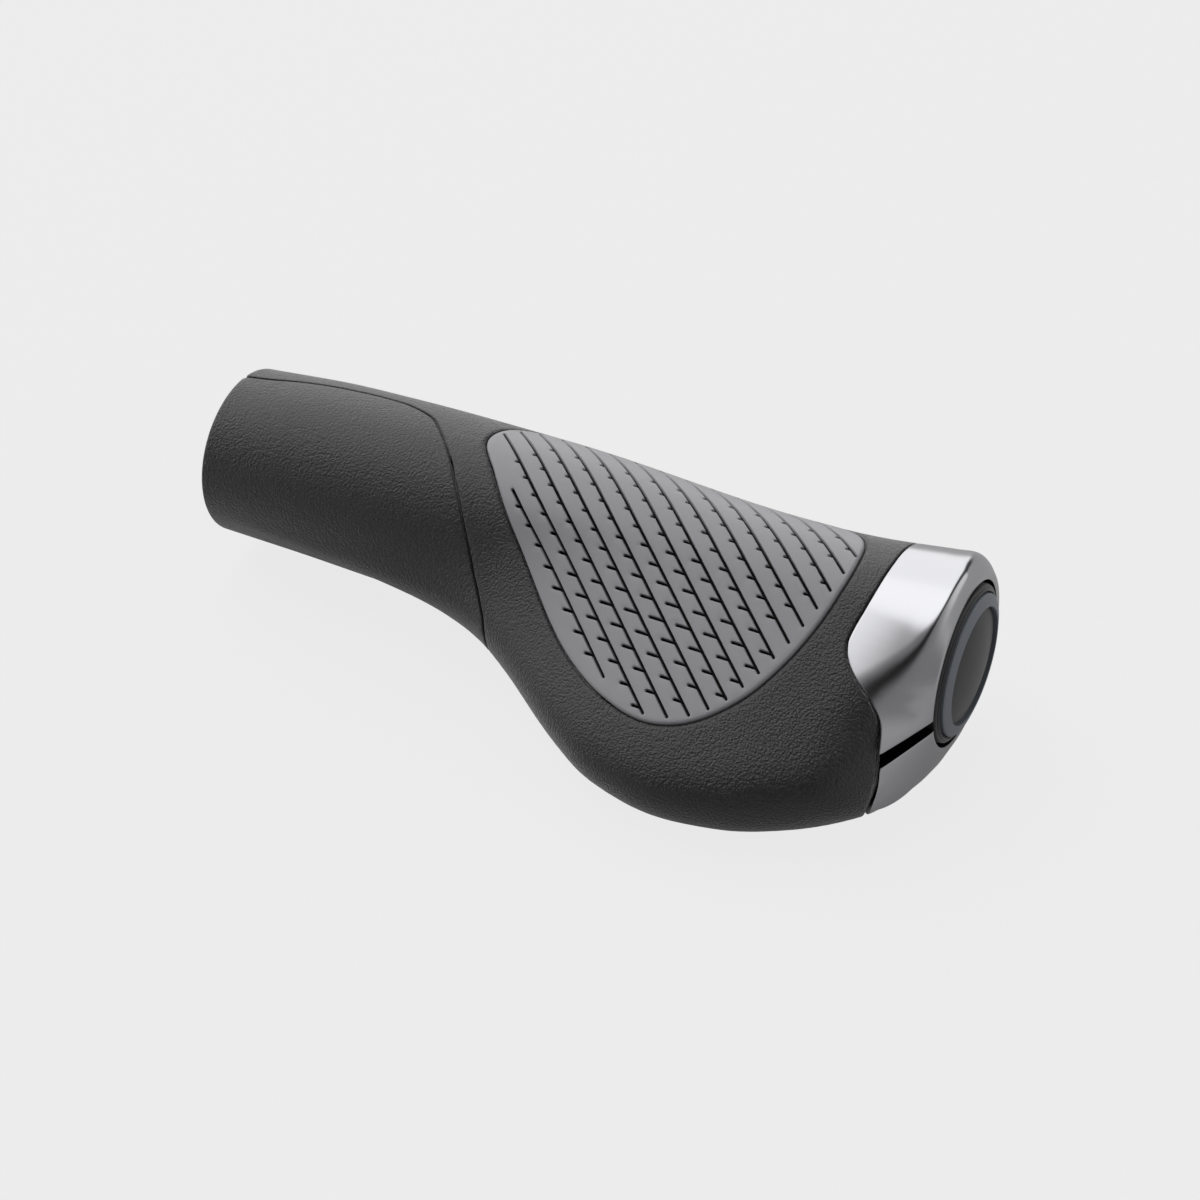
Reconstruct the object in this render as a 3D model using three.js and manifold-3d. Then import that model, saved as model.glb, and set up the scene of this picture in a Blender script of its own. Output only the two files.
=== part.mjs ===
// Right-hand wing grip for a 22.2 mm bicycle handlebar, in millimetres.
// The origin is on the bar axis at the inboard end face. +X runs outboard along the bar,
// -Y is towards the rider and +Z is up. The palm wing droops towards the rider.
//
// Wing frame: sections are drawn across the bar with the wing lying flat. Angle 0 points at the
// wing tip, 90 degrees is up and 180 degrees is the finger side. A place on the skin is (x, s),
// with s measured round the section from the top of the barrel towards the wing.
import * as THREE from 'three';
import { mergeVertices } from 'three/addons/utils/BufferGeometryUtils.js';
import Module from 'manifold-3d';

const wasm = await Module();
wasm.setup();

// Clearance between neighbouring pieces
const FIT = 0.3;

// Collar and lug along the bar: where the collar's edge meets the rubber, and lengths from there
const COLLAR_START_X = 120.8;
const COLLAR_LENGTH = 14;
const COLLAR_RIM_L = 3.8;
const COLLAR_END_X = COLLAR_START_X + COLLAR_LENGTH;
const COLLAR_EDGE_X = COLLAR_END_X - COLLAR_RIM_L;
const LUG_LEAD = 1.2;
const LUG_START_X = COLLAR_START_X - LUG_LEAD;

// Bar and stiff core
const BAR_BORE_D = 22.3;
const CORE_WALL = 1.25;
const CORE_END_GAP = 1;
const CORE_LENGTH = LUG_START_X - CORE_END_GAP;
const BLADE_T = 4;
const BLADE_START = 62;
const BLADE_END_GAP = 5.6;
const BLADE_END = LUG_START_X - BLADE_END_GAP;
const BLADE_EDGE_COVER = 7;

// Barrel: radius at the inboard end, at the palm, beside the wing and at the collar's edge
const BARREL_R_INBOARD = 14.5;
const BARREL_R_PALM = 15.9;
const BARREL_R_OUTBOARD = 15.4;
const COLLAR_EDGE_R = 17;
const COLLAR_RIM_R = 13.9;
const RIM_ROUND = 0.8;

// Wing: where it starts, where it reaches furthest, and its reach from the bar axis
const WING_START_X = 42;
const WING_PEAK_X = 98;
const WING_REACH = 41.5;
const WING_ROOT_REACH = 17.3;
const COLLAR_EDGE_REACH = 26.9;
const COLLAR_RIM_REACH = 19.6;
const TIP_R_ROOT = 6;
const TIP_R_WING = 6.5;
const TIP_R_COLLAR = 8;
const DROOP_DEG = 16;

// Finger side swell: how far the barrel's round is set off the bar axis, and which way
const SWELL = 0.7;
const SWELL_DEG = 149;

// Seam between barrel cover and wing body, symmetrical about a line under the wing
const SEAM_CENTRE_DEG = -25;
const SEAM_END_X = 60;
const SEAM_END_HALF_DEG = 24;
const SEAM_KNOTS = [[0, 139], [10, 145], [25, 151], [33, 148], [38, 139], [43, 122], [50, 88], [55, 53],
  [58, 38], [SEAM_END_X - 0.5, 31], [SEAM_END_X, SEAM_END_HALF_DEG]];
const SEAM_REF_R = 16;
const SEAM_STEP = 2.5;

// Collar: its inboard edge on the skin, as angle and distance from its start
const COLLAR_LOBE = 9.3;
const COLLAR_KNOTS = [[-180, 0.3], [-110, 0.2], [-70, -0.8], [-48, -1.5], [-34, -0.3], [-20, 4.2],
  [-5, 8.2], [8, COLLAR_LOBE], [18, 8.5], [27, 6.5], [34, 3.2], [40, 0.5], [46, -0.8], [56, -1.5],
  [72, -0.8], [90, 0], [140, 0.3], [180, 0.3]];
const COLLAR_REF_R = 18;

// Lug of the collar inside the wing, its bolt, and the split
const LUG_REACH = 24;
const LUG_COVER = 1.8;
const SPLIT_DEG = 14;
const SPLIT_W = 2.2;
const BOLT_FROM_END = 7.8;
const BOLT_X = COLLAR_END_X - BOLT_FROM_END;
const BOLT_REACH = 16.5;
const BOLT_D = 5;
const BOLT_HEAD_D = 8.5;
const BOLT_HEAD_H = 5;
const BOLT_SEAT_Z = -3.5;
const BOLT_TIP_Z = 7.2;
const SOCKET_AF = 4;
const SOCKET_DEPTH = 2.6;

// End plug and its ring
const PLUG_SEAT_X = COLLAR_EDGE_X;
const PLUG_POCKET_R = 13.6;
const PLUG_R = 13;
const PLUG_RIM_SINK = 0.6;
const PLUG_RIM_X = COLLAR_END_X - PLUG_RIM_SINK;
const PLUG_RISE = 3.3;
const PLUG_STEM_R = 8.3;
const PLUG_RIB_R = 8.7;
const PLUG_RIB_COUNT = 3;
const PLUG_STEM_L = 12;
const PLUG_HOLLOW_R = 5;
const PLUG_HOLLOW_L = 10;
const RING_R_IN = 9.6;
const RING_R_OUT = 11.8;
const RING_PROUD = 0.35;
const RING_DEPTH = 1;
const DISC_SINK = 0.4;

// Tread panel: outline on the skin, thickness, grooves and ticks
const PANEL_T = 1.5;
const PANEL_SINK = 0.1;
const PANEL_OUTLINE = [[48.8, -7.5], [49.2, -4.7], [52.7, -0.3], [61, 9.7], [72.7, 22], [79.3, 27],
  [86, 30.3], [93.5, 31.9], [100, 30.2], [106.7, 24.3], [111.5, 16], [114.8, 6], [115.8, -2],
  [114.6, -8.4], [111, -12.4], [105, -14.8], [95, -15.2], [65, -15.2], [55, -14.4], [50.3, -11.3]];
const GROOVE_W = 0.7;
const GROOVE_DEPTH = 0.8;
const GROOVE_PITCH = 4.6;
const GROOVE_SLANT_DEG = 48;
const GROOVE_FIRST_X = 54.5;
const GROOVE_COUNT = 15;
const GROOVE_INSET = 1.5;
const TICK_W = 0.55;
const TICK_DEPTH = 0.6;
const TICK_ROW_S = 10.1;
const TICK_PITCH_ROUND = 2.55;
const TICK_PITCH_FLAT = 2.85;
const TICK_LONGEST = 2.6;
const TICK_SHORTEST = 0.8;

const rad = THREE.MathUtils.degToRad;

// Smooth curve through knots [x, value] that never overshoots them
function curveThrough(knots) {
  const xs = knots.map((k) => k[0]);
  const vs = knots.map((k) => k[1]);
  const step = xs.slice(1).map((x, i) => x - xs[i]);
  const rise = vs.slice(1).map((v, i) => (v - vs[i]) / step[i]);
  const slope = vs.map((v, i) => {
    if (i === 0) return rise[0];
    if (i === vs.length - 1) return rise[i - 1];
    const [a, b] = [rise[i - 1], rise[i]];
    if (a * b <= 0) return 0;
    const [p, q] = [2 * step[i] + step[i - 1], step[i] + 2 * step[i - 1]];
    return (p + q) / (p / a + q / b);
  });
  return (x) => {
    let i = 0;
    while (i < step.length - 1 && x > xs[i + 1]) i += 1;
    const t = THREE.MathUtils.clamp((x - xs[i]) / step[i], 0, 1);
    const h = step[i];
    return vs[i] * (1 + 2 * t) * (1 - t) ** 2 + slope[i] * h * t * (1 - t) ** 2
      + vs[i + 1] * t * t * (3 - 2 * t) + slope[i + 1] * h * t * t * (t - 1);
  };
}

const between = (a, b, t) => a + (b - a) * t;
const onWing = (t) => between(WING_START_X, WING_PEAK_X, t);
const toCollar = (t) => between(WING_PEAK_X, COLLAR_EDGE_X, t);
const toEnd = (t) => between(COLLAR_EDGE_X, COLLAR_END_X, t);

const barrelRadius = curveThrough([
  [0, BARREL_R_INBOARD],
  [WING_START_X / 2, between(BARREL_R_INBOARD, BARREL_R_PALM, 0.7)],
  [WING_START_X, BARREL_R_PALM],
  [onWing(0.7), between(BARREL_R_PALM, BARREL_R_OUTBOARD, 0.4)],
  [toCollar(0.42), BARREL_R_OUTBOARD],
  [toCollar(0.9), between(BARREL_R_OUTBOARD, COLLAR_EDGE_R, 0.7)],
  [COLLAR_EDGE_X, COLLAR_EDGE_R],
  [toEnd(0.66), between(COLLAR_EDGE_R, COLLAR_RIM_R, 0.58)],
  [COLLAR_END_X, COLLAR_RIM_R],
]);
const reachOnWing = (t) => between(WING_ROOT_REACH, WING_REACH, t);
const reachToCollar = (t) => between(WING_REACH, COLLAR_EDGE_REACH, t);
const wingReach = curveThrough([
  [0, BARREL_R_INBOARD - 0.05],
  [WING_START_X / 2, between(BARREL_R_INBOARD, WING_ROOT_REACH, 0.3)],
  [WING_START_X, WING_ROOT_REACH],
  [onWing(0.14), reachOnWing(0.066)],
  [onWing(0.27), reachOnWing(0.17)],
  [onWing(0.39), reachOnWing(0.33)],
  [onWing(0.64), reachOnWing(0.727)],
  [onWing(0.79), reachOnWing(0.91)],
  [WING_PEAK_X, WING_REACH],
  [toCollar(0.33), reachToCollar(0.096)],
  [toCollar(0.61), reachToCollar(0.336)],
  [toCollar(0.91), reachToCollar(0.78)],
  [COLLAR_EDGE_X, COLLAR_EDGE_REACH],
  [toEnd(0.66), between(COLLAR_EDGE_REACH, COLLAR_RIM_REACH, 0.59)],
  [COLLAR_END_X, COLLAR_RIM_REACH],
]);
const tipRadius = curveThrough([
  [0, TIP_R_ROOT - 1],
  [WING_START_X, TIP_R_ROOT],
  [WING_PEAK_X, TIP_R_WING],
  [COLLAR_END_X, TIP_R_COLLAR],
]);
const swell = curveThrough([
  [0, 0],
  [WING_START_X / 2, SWELL],
  [onWing(0.32), SWELL],
  [WING_PEAK_X, -SWELL],
  [COLLAR_EDGE_X, SWELL / 2],
  [COLLAR_END_X, -SWELL / 2],
]);

// Sizes of the section at x: a barrel circle, a wing tip circle and the flats that touch both
function sectionAt(x) {
  const tip = tipRadius(x);
  const lift = swell(x);
  return {
    barrel: barrelRadius(x),
    tip,
    tipU: wingReach(x) - tip,
    u: lift * Math.cos(rad(SWELL_DEG)),
    w: lift * Math.sin(rad(SWELL_DEG)),
  };
}

// Distance from the bar axis to the skin of a section, in the direction of an angle
function skinRadius(section, angle) {
  const { barrel, tip, tipU, u, w } = section;
  const dir = [Math.cos(angle), Math.sin(angle)];
  const farSide = (cu, cw, r) => {
    const along = dir[0] * cu + dir[1] * cw;
    const room = r * r - (cu * cu + cw * cw - along * along);
    return room > 0 ? along + Math.sqrt(room) : 0;
  };
  let best = Math.max(farSide(u, w, barrel), farSide(tipU, 0, tip));
  const [eu, ew] = [tipU - u, -w];
  const apart = Math.hypot(eu, ew);
  if (apart <= Math.abs(barrel - tip) + 1e-6) return best;
  const lean = Math.asin((barrel - tip) / apart);
  for (const side of [1, -1]) {
    const normal = Math.atan2(ew, eu) + side * (Math.PI / 2 - lean);
    const [nu, nw] = [Math.cos(normal), Math.sin(normal)];
    const facing = dir[0] * nu + dir[1] * nw;
    if (facing < 1e-6) continue;
    const r = (u * nu + w * nw + barrel) / facing;
    const [pu, pw] = [r * dir[0], r * dir[1]];
    const pastBarrel = (pu - u - barrel * nu) * eu + (pw - w - barrel * nw) * ew;
    const pastTip = (pu - tipU - tip * nu) * eu + (pw - tip * nw) * ew;
    if (pastBarrel >= 0 && pastTip <= 0) best = Math.max(best, r);
  }
  return best;
}

// Section outline with the distance run round it, kept for each place along the bar
const sweeps = new Map();
function sweepAt(x) {
  if (sweeps.has(x)) return sweeps.get(x);
  const section = sectionAt(x);
  const sweep = [];
  let run = 0;
  for (let deg = 220; deg >= -220; deg -= 1) {
    const angle = rad(deg);
    const r = skinRadius(section, angle);
    const [u, w] = [r * Math.cos(angle), r * Math.sin(angle)];
    const last = sweep.at(-1);
    if (last) run += Math.hypot(u - last.u, w - last.w);
    sweep.push({ deg, u, w, run });
  }
  const top = sweep.find((p) => p.deg === 90).run;
  for (const p of sweep) p.s = p.run - top;
  sweeps.set(x, sweep);
  return sweep;
}

// Point on the skin at (x, s), moved inwards by depth
function onSkin(x, s, depth = 0) {
  const sweep = sweepAt(x);
  let i = 1;
  while (i < sweep.length - 1 && sweep[i].s < s) i += 1;
  const [a, b] = [sweep[i - 1], sweep[i]];
  const t = (s - a.s) / (b.s - a.s);
  const [du, dw] = [b.u - a.u, b.w - a.w];
  const size = Math.hypot(du, dw);
  return [x, between(a.u, b.u, t) + (depth * dw) / size, between(a.w, b.w, t) - (depth * du) / size];
}

// Closed mesh from rings of points (x, u, w), each ring joined to the next and the ends filled,
// or the last ring joined to the first
function ringMesh(rings, joined = false) {
  const count = rings[0].length;
  const points = rings.flat();
  const faces = [];
  const spans = joined ? rings.length : rings.length - 1;
  for (let i = 0; i < spans; i += 1) {
    const [a, b] = [i * count, ((i + 1) % rings.length) * count];
    for (let j = 0; j < count; j += 1) {
      const k = (j + 1) % count;
      faces.push([a + j, b + j, b + k], [a + j, b + k, a + k]);
    }
  }
  if (!joined) {
    const last = (rings.length - 1) * count;
    for (let j = 1; j < count - 1; j += 1) {
      faces.push([0, j, j + 1], [last, last + j + 1, last + j]);
    }
  }
  const geometry = new THREE.BufferGeometry();
  geometry.setAttribute('position', new THREE.Float32BufferAttribute(
    points.flatMap(([x, u, w]) => [x, -u, w]), 3));
  geometry.setIndex(faces.flat());
  return geometry;
}

// Solid of a closed three.js geometry, turned right side out
function solid(geometry) {
  geometry.deleteAttribute('normal');
  geometry.deleteAttribute('uv');
  const merged = mergeVertices(geometry, 1e-4);
  const position = merged.getAttribute('position');
  const index = Array.from(merged.getIndex().array);
  const triangles = [];
  let volume = 0;
  const [a, b, c] = [new THREE.Vector3(), new THREE.Vector3(), new THREE.Vector3()];
  for (let i = 0; i < index.length; i += 3) {
    const [p, q, r] = index.slice(i, i + 3);
    if (p === q || q === r || r === p) continue;
    a.fromBufferAttribute(position, p);
    b.fromBufferAttribute(position, q);
    c.fromBufferAttribute(position, r);
    volume += a.dot(b.cross(c));
    triangles.push([p, q, r]);
  }
  const outward = volume > 0 ? triangles : triangles.map(([p, q, r]) => [p, r, q]);
  return new wasm.Manifold(new wasm.Mesh({
    numProp: 3,
    vertProperties: new Float32Array(position.array),
    triVerts: new Uint32Array(outward.flat()),
  }));
}

// Geometry of a solid, for a mesh
function geometryOf(body) {
  const { vertProperties, triVerts } = body.getMesh();
  const geometry = new THREE.BufferGeometry();
  geometry.setAttribute('position', new THREE.BufferAttribute(vertProperties, 3));
  geometry.setIndex(new THREE.BufferAttribute(triVerts, 1));
  geometry.computeVertexNormals();
  return geometry;
}

// Round bar along the handlebar axis
function rodX(radius, from, to, sides = 48) {
  const rod = new THREE.CylinderGeometry(radius, radius, to - from, sides);
  return solid(rod.rotateZ(-Math.PI / 2).translate((from + to) / 2, 0, 0));
}

// Solid turned about the handlebar axis from a closed profile of [radius, x]
function turnedX(profile, sides = 48) {
  const points = [...profile, profile[0]].map(([r, x]) => new THREE.Vector2(r, x));
  return solid(new THREE.LatheGeometry(points, sides).rotateZ(-Math.PI / 2));
}

// Box in the wing frame
function block([x0, x1], [u0, u1], [w0, w1]) {
  const box = new THREE.BoxGeometry(x1 - x0, u1 - u0, w1 - w0);
  return solid(box.translate((x0 + x1) / 2, -(u0 + u1) / 2, (w0 + w1) / 2));
}

// Line of points moved sideways by a distance, to the left of its run when that is positive
function moved(line, distance, closed = false) {
  const n = line.length;
  return line.map((p, i) => {
    const before = closed ? line[(i + n - 1) % n] : line[Math.max(i - 1, 0)];
    const after = closed ? line[(i + 1) % n] : line[Math.min(i + 1, n - 1)];
    const [dx, dy] = [after[0] - before[0], after[1] - before[1]];
    const size = Math.hypot(dx, dy);
    return [p[0] - (distance * dy) / size, p[1] + (distance * dx) / size];
  });
}

// Outer shape of the whole grip, or the same shape drawn in by an inset
const RIM_STEPS = [[0, 1], [0.3, 0.3], [1, 0]];
const SKIN_SPACING = 6;
const SKIN_COLUMNS = 44;
function skinSolid(inset = 0) {
  const evenly = (from, to) => {
    const count = Math.round((to - from) / SKIN_SPACING);
    return Array.from({ length: count }, (_, i) => between(from, to, (i + 1) / (count + 1)));
  };
  const stations = [
    ...RIM_STEPS.map(([x, r]) => [x * RIM_ROUND, r * RIM_ROUND]),
    ...evenly(RIM_ROUND, COLLAR_EDGE_X - 1).map((x) => [x, 0]),
    ...[-1, 0].map((x) => [COLLAR_EDGE_X + x, 0]),
    ...[0.3, 0.6, 0.85, 1].map((t) => [toEnd(t), 0]),
  ];
  const rings = stations.map(([x, drawIn]) => {
    const sweep = sweepAt(x);
    const turn = sweep.filter((p) => p.deg <= 180 && p.deg >= -180);
    const whole = turn.at(-1).run - turn[0].run;
    const share = turn.map((p) => between((p.run - turn[0].run) / whole, bend(turn, p), 0.5));
    return Array.from({ length: SKIN_COLUMNS }, (_, j) => {
      const want = j / SKIN_COLUMNS;
      let i = 1;
      while (i < share.length - 1 && share[i] < want) i += 1;
      const t = (want - share[i - 1]) / (share[i] - share[i - 1]);
      const angle = rad(between(turn[i - 1].deg, turn[i].deg, t));
      const r = skinRadius(sectionAt(x), angle) - drawIn - inset;
      return [x, r * Math.cos(angle), r * Math.sin(angle)];
    });
  });
  return solid(ringMesh(rings));
}

// Share of a section's whole turning that is done by the time it gets to a point
const bends = new WeakMap();
function bend(turn, point) {
  if (!bends.has(turn)) {
    const heading = (i) => Math.atan2(turn[i + 1].w - turn[i].w, turn[i + 1].u - turn[i].u);
    let sum = 0;
    const sums = new Map([[turn[0], 0]]);
    for (let i = 1; i < turn.length; i += 1) {
      if (i < turn.length - 1) {
        const step = heading(i) - heading(i - 1);
        sum += Math.abs(Math.atan2(Math.sin(step), Math.cos(step)));
      }
      sums.set(turn[i], sum);
    }
    bends.set(turn, { sums, sum });
  }
  const { sums, sum } = bends.get(turn);
  return sums.get(point) / sum;
}

// Point a little outside the skin, so that a cut made through it clears the skin
const OUTSIDE = 3;
function outsideSkin(x, angle) {
  const r = skinRadius(sectionAt(x), angle) + OUTSIDE;
  return [x, r * Math.cos(angle), r * Math.sin(angle)];
}

// Space of the barrel cover: a sector under the wing whose sides run along the seam
function seamZone(grow) {
  const half = curveThrough(SEAM_KNOTS);
  const count = Math.round(SEAM_END_X / SEAM_STEP);
  const xs = Array.from({ length: count }, (_, i) => (i * (SEAM_END_X - 1)) / (count - 1));
  const line = [...xs, SEAM_END_X - 0.5, SEAM_END_X].map((x) => [x, rad(half(x)) * SEAM_REF_R]);
  const edge = moved(line, grow);
  edge[edge.length - 1] = [SEAM_END_X + grow, edge.at(-1)[1]];
  edge[0] = [-1, edge[0][1]];
  const steps = 24;
  return solid(ringMesh(edge.map(([x, y]) => {
    const arc = Array.from({ length: steps + 1 }, (_, i) => outsideSkin(
      x, rad(SEAM_CENTRE_DEG) + between(-1, 1, i / steps) * (y / SEAM_REF_R)));
    return [[x, 0, 0], ...arc];
  })));
}

// Space of the collar: everything outboard of its edge on the skin, and the lug inside the wing
function collarZone(grow) {
  const edgeAt = curveThrough(COLLAR_KNOTS);
  const line = [];
  for (let deg = -180; deg < 180; deg += 6) {
    line.push([rad(deg) * COLLAR_REF_R, COLLAR_START_X + edgeAt(deg)]);
  }
  const edge = moved(line, -grow).map(([y, x]) => [x, y / COLLAR_REF_R]);
  edge[0] = [line[0][1] - grow, -Math.PI];
  const crown = solid(ringMesh(edge.map(([x, angle]) => {
    const [, u, w] = outsideSkin(x, angle);
    const inner = BAR_BORE_D / 4 / Math.hypot(u, w);
    const end = COLLAR_END_X + OUTSIDE;
    return [[x, u * inner, w * inner], [x, u, w], [end, u, w], [end, u * inner, w * inner]];
  }), true));
  const lugBox = block([LUG_START_X - grow, COLLAR_EDGE_X], [BAR_BORE_D / 2 - grow, LUG_REACH + grow],
    [-COLLAR_EDGE_R, COLLAR_EDGE_R]);
  return crown.add(skinSolid(LUG_COVER - grow).intersect(lugBox));
}

// Smooth closed loop through the points of an outline
function roundedLoop(outline) {
  const curve = new THREE.CatmullRomCurve3(outline.map(([x, s]) => new THREE.Vector3(x, s, 0)), true);
  return curve.getPoints(outline.length * 6).slice(1).map((p) => [p.x, p.y]);
}

// Slab that follows the skin inside an outline, between two depths
function skinPatch(outline, outerDepth, innerDepth) {
  const loop = roundedLoop(outline);
  const xs = loop.map((p) => p[0]);
  const [left, right] = [Math.min(...xs) + 0.02, Math.max(...xs) - 0.02];
  const [rows, columns] = [20, 9];
  const rings = Array.from({ length: rows + 1 }, (_, i) => {
    const x = between(left, right, (1 - Math.cos((Math.PI * i) / rows)) / 2);
    const hits = crossings(loop, x);
    const [s0, s1] = [Math.min(...hits), Math.max(...hits)];
    const across = Array.from({ length: columns + 1 }, (_, j) => between(s0, s1, (j / columns) ** 1.3));
    return [
      ...across.map((s) => onSkin(x, s, outerDepth)),
      ...across.reverse().map((s) => onSkin(x, s, innerDepth)),
    ];
  });
  return solid(ringMesh(rings));
}

// Where a closed loop crosses the line at x
function crossings(loop, x) {
  const hits = [];
  loop.forEach((p, i) => {
    const q = loop[(i + 1) % loop.length];
    if ((p[0] - x) * (q[0] - x) < 0) hits.push(between(p[1], q[1], (x - p[0]) / (q[0] - p[0])));
  });
  return hits;
}

// Bar let into the skin along a line of (x, s) points
function skinBar(line, width, depth) {
  const [left, right] = [moved(line, width / 2), moved(line, -width / 2)];
  return solid(ringMesh(line.map((_, i) => [
    onSkin(...left[i], -1),
    onSkin(...right[i], -1),
    onSkin(...right[i], depth),
    onSkin(...left[i], depth),
  ])));
}

// Grooves that slant across the panel, each with its ticks
function treadCuts() {
  const slant = Math.tan(rad(GROOVE_SLANT_DEG));
  const inner = moved(roundedLoop(PANEL_OUTLINE), -GROOVE_INSET, true);
  const cuts = [];
  for (let k = 0; k < GROOVE_COUNT; k += 1) {
    const x0 = GROOVE_FIRST_X + k * GROOVE_PITCH;
    const sheared = inner.map(([x, s]) => [x - slant * s, s]);
    const hits = crossings(sheared, x0);
    if (hits.length < 2) continue;
    const [s0, s1] = [Math.min(...hits), Math.max(...hits)];
    const steps = Math.max(2, Math.round((s1 - s0) / 6));
    const line = Array.from({ length: steps + 1 }, (_, i) => {
      const s = between(s0, s1, i / steps);
      return [x0 + slant * s, s];
    });
    cuts.push(skinBar(line, GROOVE_W, GROOVE_DEPTH));
    for (let row = -6; row <= 7; row += 1) {
      const s = TICK_ROW_S + row * (row < 0 ? TICK_PITCH_ROUND : TICK_PITCH_FLAT);
      const x = x0 + slant * s;
      const fade = 0.04 * Math.abs(x - WING_PEAK_X + 6) + 0.09 * Math.abs(s - TICK_ROW_S - 6);
      const length = Math.max(TICK_SHORTEST, TICK_LONGEST - fade);
      if (s < s0 + 1 || s > s1 - 0.5) continue;
      cuts.push(skinBar([[x, s], [x - length - GROOVE_W / 2, s]], TICK_W, TICK_DEPTH));
    }
  }
  return cuts.reduce((all, cut) => all.add(cut));
}

// Blade outline in plan, drawn in from the edge of the wing
function bladeSolid(grow) {
  const shape = new THREE.Shape();
  const root = BAR_BORE_D / 2 + CORE_WALL / 2;
  const [from, to] = [BLADE_START - grow, BLADE_END + grow];
  shape.moveTo(from, -root);
  const steps = 12;
  for (let i = 0; i <= steps; i += 1) {
    const x = between(from, to, i / steps);
    shape.lineTo(x, -(wingReach(x) - BLADE_EDGE_COVER + grow));
  }
  shape.lineTo(to, -root);
  const depth = BLADE_T + 2 * grow;
  const plate = new THREE.ExtrudeGeometry(shape, { depth, bevelEnabled: false });
  return solid(plate.translate(0, 0, -depth / 2));
}

// Cylinder across the bar, along the bolt's axis
function boltRod(radius, from, to, sides = 32) {
  const rod = new THREE.CylinderGeometry(radius, radius, to - from, sides);
  return solid(rod.rotateX(Math.PI / 2).translate(BOLT_X, -BOLT_REACH, (from + to) / 2));
}

// Core tube with the blade that stiffens the wing
const coreR = BAR_BORE_D / 2 + CORE_WALL;
const barBore = rodX(BAR_BORE_D / 2, -1, COLLAR_END_X + 5);
const coreTube = rodX(coreR, 0, CORE_LENGTH).add(bladeSolid(0)).subtract(barBore);

// Rubber: one skin over the core, parted along the seam
const skin = skinSolid();
const rubber = skin.subtract(rodX(coreR + FIT, -1, COLLAR_END_X + 5));
const barrelCover = rubber.intersect(seamZone(-FIT / 2));
const panelPocket = skinPatch(moved(PANEL_OUTLINE, FIT, true), -3, PANEL_T + FIT);
const wingBody = rubber
  .subtract(seamZone(FIT / 2))
  .subtract(collarZone(FIT))
  .subtract(panelPocket)
  .subtract(bladeSolid(FIT));
const treadPanel = skinPatch(PANEL_OUTLINE, PANEL_SINK, PANEL_T).subtract(treadCuts());

// Collar: bored for the bar, pocketed for the plug, split on the rider's side and drilled for the bolt
const split = solid(new THREE.BoxGeometry(COLLAR_END_X, 2 * WING_REACH, SPLIT_W)
  .translate(COLLAR_END_X, -WING_REACH, 0)
  .rotateX(-rad(SPLIT_DEG)));
const boltClear = BOLT_D / 2 + FIT;
const clampCollar = skin
  .intersect(collarZone(0))
  .subtract(barBore)
  .subtract(rodX(PLUG_POCKET_R, PLUG_SEAT_X, COLLAR_END_X + 5))
  .subtract(split)
  .subtract(boltRod(boltClear, BOLT_SEAT_Z - 1, BOLT_TIP_Z + FIT))
  .subtract(boltRod(BOLT_HEAD_D / 2 + FIT, -2 * COLLAR_EDGE_R, BOLT_SEAT_Z));

// Bolt: shank up into the top jaw, head sunk in the lower one, hexagon socket from below
const headTop = BOLT_SEAT_Z - FIT;
const headBottom = headTop - BOLT_HEAD_H;
const clampBolt = boltRod(BOLT_D / 2, headTop - 1, BOLT_TIP_Z)
  .add(boltRod(BOLT_HEAD_D / 2, headBottom, headTop))
  .subtract(boltRod(SOCKET_AF / Math.sqrt(3), headBottom - 1, headBottom + SOCKET_DEPTH, 6));

// Plug: ribbed hollow stem in the bar, domed flange in the collar, groove for the ring
const domeR = (PLUG_R ** 2 + PLUG_RISE ** 2) / (2 * PLUG_RISE);
const domeX = (r, offset = 0) => PLUG_RIM_X + PLUG_RISE + offset - domeR + Math.sqrt(domeR ** 2 - r ** 2);
const domeArc = (from, to, offset, steps) => Array.from({ length: steps + 1 }, (_, i) => {
  const r = between(from, to, i / steps);
  return [r, domeX(r, offset)];
});
const flangeBack = PLUG_SEAT_X + FIT;
const stemEnd = flangeBack - PLUG_STEM_L;
const grooveX = domeX(RING_R_OUT) - RING_DEPTH;
const stem = [];
for (let i = 0; i < PLUG_RIB_COUNT; i += 1) {
  const rib = PLUG_STEM_L / (PLUG_RIB_COUNT + 1);
  const x = stemEnd + (i + 0.5) * rib;
  stem.push([PLUG_STEM_R, x], [PLUG_RIB_R, x + rib / 4]);
  stem.push([PLUG_RIB_R, x + rib / 2], [PLUG_STEM_R, x + rib / 2]);
}
const endPlug = turnedX([
  [0, stemEnd + PLUG_HOLLOW_L],
  [PLUG_HOLLOW_R, stemEnd + PLUG_HOLLOW_L],
  [PLUG_HOLLOW_R, stemEnd],
  [PLUG_STEM_R, stemEnd],
  ...stem,
  [PLUG_STEM_R, flangeBack],
  [PLUG_R, flangeBack],
  [PLUG_R, PLUG_RIM_X],
  ...domeArc(PLUG_R - 0.3, RING_R_OUT + FIT, 0, 2),
  [RING_R_OUT + FIT, grooveX],
  [RING_R_IN - FIT, grooveX],
  ...domeArc(RING_R_IN - FIT, 0, -DISC_SINK, 4),
], 36);
const plugRing = turnedX([
  [RING_R_OUT, grooveX + FIT],
  ...domeArc(RING_R_OUT, RING_R_IN, RING_PROUD, 3),
  [RING_R_IN, grooveX + FIT],
]);

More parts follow.
